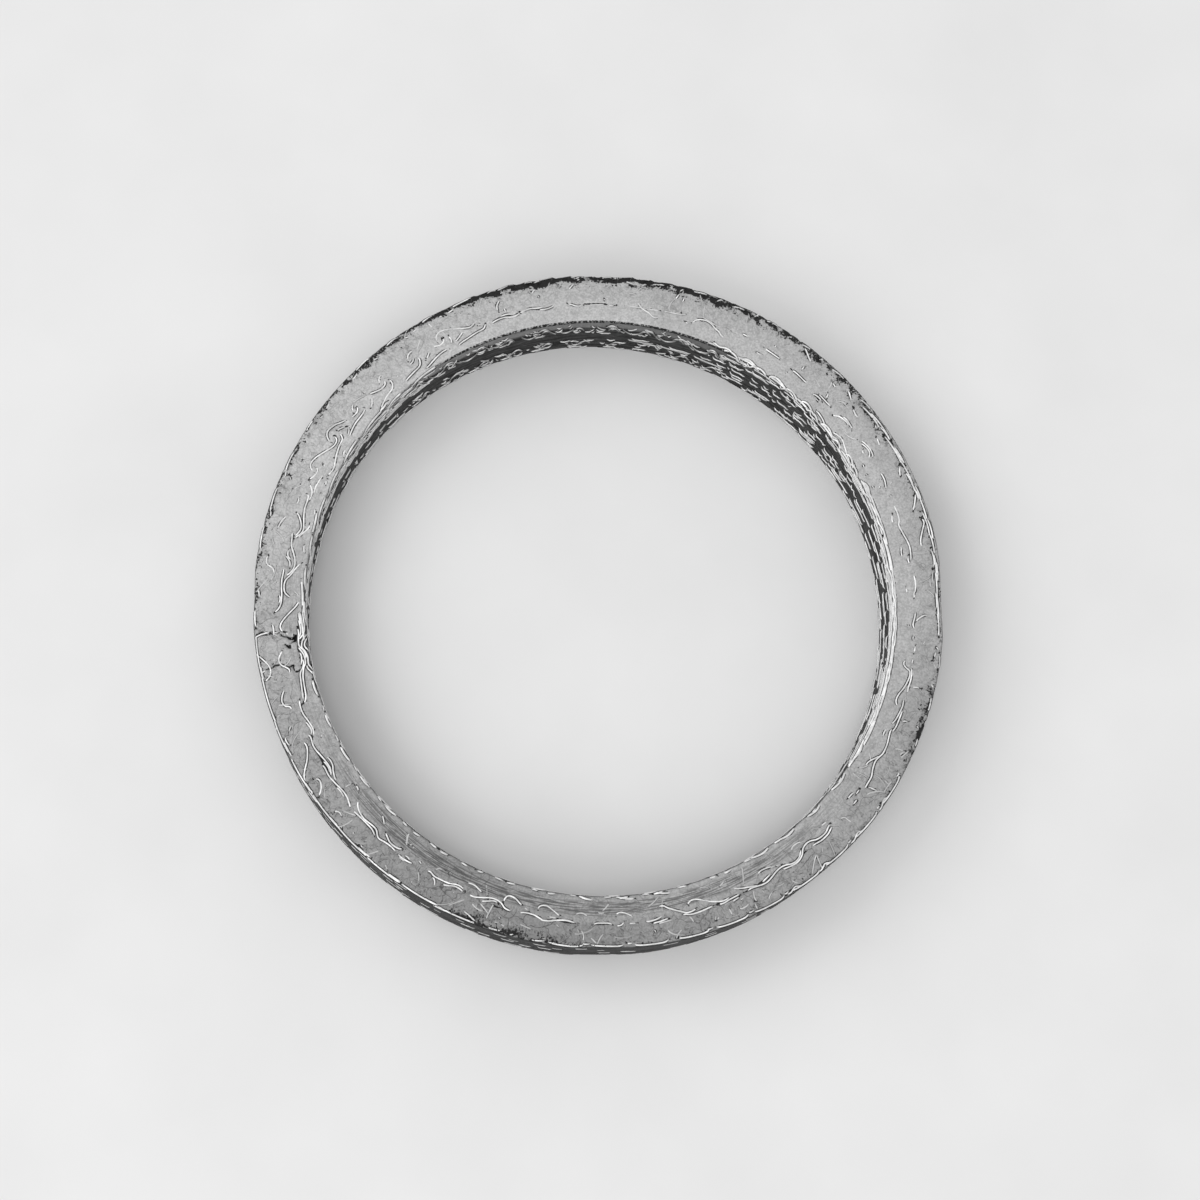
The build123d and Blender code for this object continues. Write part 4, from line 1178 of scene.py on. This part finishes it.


# %% [markdown]
# ** Flexible graphite** is pressed from expanded flakes of graphite, so it is grey and slightly metallic,
# with a grain of flakes a few tenths of a millimetre wide. Under the die it takes a satin, pewter-like
# burnish. On the walls, where nothing rubbed it, it stays matt and close to black; that near black is
# also painted shade of walls turned away from the light. Noise textures are given
# in blobs per metre, so 1 / (0.3 mm) makes blobs of 0.3 mm.

# %% Pressed flexible graphite
def graphite_material():
    """Burnished grey on the faces; on the walls matt near black, partly unburnished graphite and partly
    painted shade; mottled by flakes, crossed by fine folds, pitted near the edges, and streaked where the
    tape slid under the die, the streaks made strong only towards the front as painted shade. Cracks,
    joints and dirt go near black, and so does painted shade beside the wires and along the edges. That
    darkening attribute is only as fine as the grid, so grain is added to it and the sum is cut off
    sharply, which breaks it into specks."""
    material, tree = new_material("pressed_flexible_graphite")
    place = add(tree, "TexCoord", output="Object")
    burnish_and_wall_shade = add(tree, "Attribute", output="Fac", attribute_name="burnish_and_wall_shade")
    streaks_and_front_shade = add(tree, "Attribute", output="Fac", attribute_name="streaks_and_front_shade")
    pitted = add(tree, "Attribute", output="Fac", attribute_name="pitted")
    creased = add(tree, "Attribute", output="Fac", attribute_name="creased")
    dark_marks_and_shade = add(tree, "Attribute", output="Fac", attribute_name="dark_marks_and_shade")
    painted_sheen_shade = add(tree, "Attribute", output="Fac", attribute_name="painted_sheen_shade")
    flakes = add(tree, "TexNoise", {"Vector": place, "Scale": 1 / (0.45 * MM), "Detail": 4.0,
                                    "Roughness": 0.65})
    grain = add(tree, "TexNoise", {"Vector": place, "Scale": 1 / (0.16 * MM), "Detail": 1.0})
    clouds = add(tree, "TexNoise", {"Vector": place, "Scale": 1 / (2.4 * MM), "Detail": 3.0})

    flat_place = add(tree, "VectorMath", {0: place, 1: (1, 1, 0)}, operation="MULTIPLY")
    distance = add(tree, "VectorMath", {0: flat_place}, output="Value", operation="LENGTH")
    x, y = (add(tree, "SeparateXYZ", {0: place}, output=axis) for axis in ("X", "Y"))
    angle = add(tree, "Math", {0: y, 1: x}, operation="ARCTAN2")
    around = add(tree, "Math", {0: angle, 1: 1.3 * MM}, operation="MULTIPLY")
    rubbed = add(tree, "CombineXYZ", {0: around, 1: distance})
    streaks = add(tree, "TexNoise", {"Vector": rubbed, "Scale": 1 / (0.1 * MM), "Detail": 2.0,
                                     "Roughness": 0.6})

    light_flakes = add(tree, "MapRange", {0: flakes, 1: 0.36, 2: 0.66})
    burnished = add(tree, "Mix", {0: light_flakes, 6: linear("#BABABA"), 7: linear("#C6C6C6")},
                    data_type="RGBA")
    bright_grain = add(tree, "MapRange", {0: grain, 1: 0.5, 2: 0.7, 3: 0.0, 4: 0.3})
    burnished = add(tree, "Mix", {0: bright_grain, 6: burnished, 7: linear("#E4E4E4")}, data_type="RGBA")
    dark_grain = add(tree, "MapRange", {0: grain, 1: 0.5, 2: 0.33, 3: 0.0, 4: 0.3})
    burnished = add(tree, "Mix", {0: dark_grain, 6: burnished, 7: linear("#868686")}, data_type="RGBA")
    cloudy = add(tree, "MapRange", {0: clouds, 1: 0.42, 2: 0.66, 3: 0.0, 4: 0.25})
    burnished = add(tree, "Mix", {0: cloudy, 6: burnished, 7: linear("#A0A0A0")}, data_type="RGBA")
    folds = add(tree, "TexNoise", {"Vector": place, "Scale": 1 / (0.9 * MM), "Detail": 3.0,
                                   "Distortion": 0.6})
    folds = add(tree, "Math", {0: folds, 1: 0.5}, operation="SUBTRACT")
    folds = add(tree, "Math", {0: folds}, operation="ABSOLUTE")
    folds = add(tree, "MapRange", {0: folds, 1: 0.0, 2: 0.028, 3: 1.0, 4: 0.0})
    broken = add(tree, "MapRange", {0: grain, 1: 0.4, 2: 0.6, 3: 0.2, 4: 1.0})
    folds = add(tree, "Math", {0: folds, 1: broken}, operation="MULTIPLY")
    wobble = add(tree, "TexNoise", {"Vector": place, "Scale": 1 / (0.6 * MM), "Detail": 2.0}, output="Color")
    wobble = add(tree, "VectorMath", {0: wobble, 3: 0.5 * MM}, operation="SCALE")
    bent = add(tree, "VectorMath", {0: place, 1: wobble}, operation="ADD")
    crazed = add(tree, "TexVoronoi", {"Vector": bent, "Scale": 1 / (1.9 * MM)}, feature="DISTANCE_TO_EDGE")
    crazed = add(tree, "MapRange", {0: crazed, 1: 0.0, 2: 0.02, 3: 1.0, 4: 0.0})
    patches = add(tree, "MapRange", {0: clouds, 1: 0.4, 2: 0.6, 3: 0.2, 4: 1.0})
    crazed = add(tree, "Math", {0: crazed, 1: patches}, operation="MULTIPLY")
    folds = add(tree, "Math", {0: folds, 1: crazed}, operation="MAXIMUM")
    folds = add(tree, "Math", {0: folds, 1: creased}, operation="MULTIPLY")
    burnished = add(tree, "Mix", {0: folds, 6: burnished, 7: linear("#666666")}, data_type="RGBA")
    # Streaks darken the colour, strongly only towards the front: painted shade over real striations.
    dark_streaks = add(tree, "MapRange", {0: streaks, 1: 0.44, 2: 0.58, 3: 0.85, 4: 0.0})
    dark_streaks = add(tree, "Math", {0: dark_streaks, 1: streaks_and_front_shade}, operation="MULTIPLY")
    burnished = add(tree, "Mix", {0: dark_streaks, 6: burnished, 7: linear("#5A5A5A")}, data_type="RGBA")

    # The near-black wall colour: partly unburnished graphite, partly painted shade.
    raw = add(tree, "Mix", {0: light_flakes, 6: linear("#2A2A2A"), 7: linear("#454545")}, data_type="RGBA")
    z = add(tree, "SeparateXYZ", {0: place}, output="Z")
    arc = add(tree, "Math", {0: angle, 1: 2.2 * MM}, operation="MULTIPLY")
    wall_place = add(tree, "CombineXYZ", {0: arc, 1: z})
    slots = add(tree, "TexNoise", {"Vector": wall_place, "Scale": 1 / (0.3 * MM), "Detail": 2.0})
    slots = add(tree, "MapRange", {0: slots, 1: 0.5, 2: 0.42})
    raw = add(tree, "Mix", {0: slots, 6: raw, 7: linear("#080808")}, data_type="RGBA")
    colour = add(tree, "Mix", {0: burnish_and_wall_shade, 6: raw, 7: burnished}, data_type="RGBA")
    # Painted sheen and shade: the colour is multiplied by the per-angle factor from the mesh.
    colour = add(tree, "Mix", {0: 1.0, 6: colour, 7: painted_sheen_shade}, data_type="RGBA", blend_type="MULTIPLY")
    pits = add(tree, "MapRange", {0: flakes, 1: 0.43, 2: 0.37})
    pits = add(tree, "Math", {0: pits, 1: pitted}, operation="MULTIPLY")
    # Dark marks and painted shade go near black: cracks, joints, pits and dirt, and the painted shade beside
    # the wires and along the edges.
    broken_marks_and_shade = add(tree, "Math", {0: grain, 1: 1.2, 2: dark_marks_and_shade}, operation="MULTIPLY_ADD")
    broken_marks_and_shade = add(tree, "MapRange", {0: broken_marks_and_shade, 1: 0.92, 2: 1.16})
    marks_and_shade_mix = add(tree, "Math", {0: pits, 1: broken_marks_and_shade}, operation="MAXIMUM")
    colour = add(tree, "Mix", {0: marks_and_shade_mix, 6: colour, 7: linear("#121212")}, data_type="RGBA")

    roughness = add(tree, "MapRange", {0: burnish_and_wall_shade, 1: 0.0, 2: 1.0, 3: 0.75, 4: 0.5})
    relief = add(tree, "Math", {0: flakes, 1: grain}, operation="ADD")
    relief = add(tree, "Math", {0: relief, 1: pits}, operation="SUBTRACT")
    relief = add(tree, "Math", {0: relief, 1: folds}, operation="SUBTRACT")
    bump = add(tree, "Bump", {"Height": relief, "Strength": 0.4, "Distance": 0.04 * MM})
    shader = add(tree, "BsdfPrincipled", {"Base Color": colour, "Roughness": roughness, "Normal": bump,
                                          "Metallic": 0.35})
    add(tree, "OutputMaterial", {"Surface": shader})
    return material


# %% [markdown]
# ** Stainless knitting wire** is drawn through dies, so it is smooth and bright where the press wiped it
# clean. Graphite clings to its flanks and, on strands that barely reach the surface, to all of it. The bright
# back of each wire is also a painted highlight, and its dark flanks also painted shade.

# %% Drawn stainless wire with smeared graphite
def wire_material():
    """Bright steel on the back of a bare strand, graphite grey on a covered one, black on the flanks. The
    bright back is partly a painted highlight, and the black flanks partly painted shade.
    """
    material, tree = new_material("drawn_stainless_wire")
    place = add(tree, "TexCoord", output="Object")
    bare = add(tree, "Attribute", output="Fac", attribute_name="bare")
    crest_highlight = add(tree, "Attribute", output="Fac", attribute_name="crest_highlight")
    smear = add(tree, "TexNoise", {"Vector": place, "Scale": 1 / (0.3 * MM), "Detail": 3.0})
    wiped = add(tree, "MapRange", {0: smear, 1: 0.35, 2: 0.65, 3: 0.75, 4: 1.15})
    clean = add(tree, "Math", {0: bare, 1: wiped}, operation="MULTIPLY", use_clamp=True)
    # Painted highlight and shade: the back of the wire is bright, its flanks dark.
    back = add(tree, "MapRange", {0: crest_highlight, 1: 0.45, 2: 0.8})
    covered = add(tree, "Mix", {0: clean, 6: linear("#949494"), 7: linear("#FEFEFE")}, data_type="RGBA")
    film = add(tree, "TexNoise", {"Vector": place, "Scale": 1 / (0.9 * MM), "Detail": 2.0})
    film = add(tree, "MapRange", {0: film, 1: 0.45, 2: 0.65})
    flank_smear_and_shade = add(tree, "Mix", {0: film, 6: linear("#101010"), 7: linear("#484848")}, data_type="RGBA")
    colour = add(tree, "Mix", {0: back, 6: flank_smear_and_shade, 7: covered}, data_type="RGBA")
    shine = add(tree, "Math", {0: back, 1: clean}, operation="MULTIPLY")
    metallic = add(tree, "MapRange", {0: shine, 1: 0.0, 2: 0.6, 3: 0.1, 4: 0.25})
    roughness = add(tree, "MapRange", {0: clean, 1: 0.2, 2: 1.0, 3: 0.5, 4: 0.3})
    bump = add(tree, "Bump", {"Height": smear, "Strength": 0.2, "Distance": 0.02 * MM})
    shader = add(tree, "BsdfPrincipled", {"Base Color": colour, "Metallic": metallic, "Roughness": roughness,
                                          "Normal": bump})
    add(tree, "OutputMaterial", {"Surface": shader})
    return material


graphite = graphite_material()
steel = wire_material()
for piece in (graphite_ring, crumbs_piece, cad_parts["graphite_ring"]):
    piece.data.materials.clear()
    piece.data.materials.append(graphite)
for piece in (*wires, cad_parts["knitted_wire"]):
    piece.data.materials.clear()
    piece.data.materials.append(steel)

# %% [markdown]
# ## Floor, light and camera
# The ring lies on a pale, matt floor. Two soft panels of the same strength stand on the left, one behind the
# ring and one in front. A small one overhead draws a thin glint along every wire. A grey room fills the
# shadows.

# %% The floor
def make_floor():
    """A square far larger than the ring, so that no view sees its edge."""
    half = 1.5
    mesh = bpy.data.meshes.new("floor")
    mesh.from_pydata([(-half, -half, 0), (half, -half, 0), (half, half, 0), (-half, half, 0)], [],
                     [(0, 1, 2, 3)])
    made = bpy.data.objects.new("floor", mesh)
    bpy.context.scene.collection.objects.link(made)
    material, tree = new_material("pale_plaster_floor")
    place = add(tree, "TexCoord", output="Object")
    patches = add(tree, "TexNoise", {"Vector": place, "Scale": 1 / (14 * MM), "Detail": 3.0})
    colour = add(tree, "Mix", {0: patches, 6: linear("#DCDCDC"), 7: linear("#E8E8E8")}, data_type="RGBA")
    shader = add(tree, "BsdfPrincipled", {"Base Color": colour, "Roughness": 0.85})
    add(tree, "OutputMaterial", {"Surface": shader})
    mesh.materials.append(material)
    return made


floor = make_floor()

# %% Light
def panel(name, azimuth, elevation, distance, size, watts):
    """A square light panel that faces the ring from a direction given in degrees."""
    around, up = math.radians(azimuth), math.radians(elevation)
    away = Vector((math.cos(up) * math.cos(around), math.cos(up) * math.sin(around), math.sin(up)))
    light = bpy.data.lights.new(name, "AREA")
    light.shape, light.size, light.energy = "SQUARE", size, watts
    lamp = bpy.data.objects.new(name, light)
    lamp.location = away * distance
    lamp.rotation_euler = away.to_track_quat("Z", "Y").to_euler()
    bpy.context.scene.collection.objects.link(lamp)


panel("key_panel", 158, 42, 1.0, 0.6, 2.3)
panel("side_panel", 236, 42, 1.0, 0.6, 2.3)
panel("top_panel", 254, 76, 0.5, 0.15, 0.25)
world = bpy.data.worlds.new("room")
world.use_nodes = True
world.node_tree.nodes["Background"].inputs["Color"].default_value = (1, 1, 1, 1)
world.node_tree.nodes["Background"].inputs["Strength"].default_value = 0.7
bpy.context.scene.world = world
bpy.context.scene.view_settings.view_transform = "Standard"

# %% Camera
AIM = Vector((0.306, 1.484, 0)) * MM
AWAY = 187.68 * MM
AZIMUTH, ELEVATION, ROLL = (math.radians(x) for x in (254.19, 76.03, 15.81))
back = Vector((math.cos(ELEVATION) * math.cos(AZIMUTH), math.cos(ELEVATION) * math.sin(AZIMUTH),
               math.sin(ELEVATION)))
lens = bpy.data.cameras.new("camera")
lens.lens, lens.sensor_width, lens.clip_start = 71.64, 36, 0.005
camera = bpy.data.objects.new("camera", lens)
camera.location = AIM + AWAY * back
camera.rotation_mode = "QUATERNION"
camera.rotation_quaternion = back.to_track_quat("Z", "Y") @ Quaternion((0, 0, 1), ROLL)
bpy.context.scene.collection.objects.link(camera)
bpy.context.scene.camera = camera
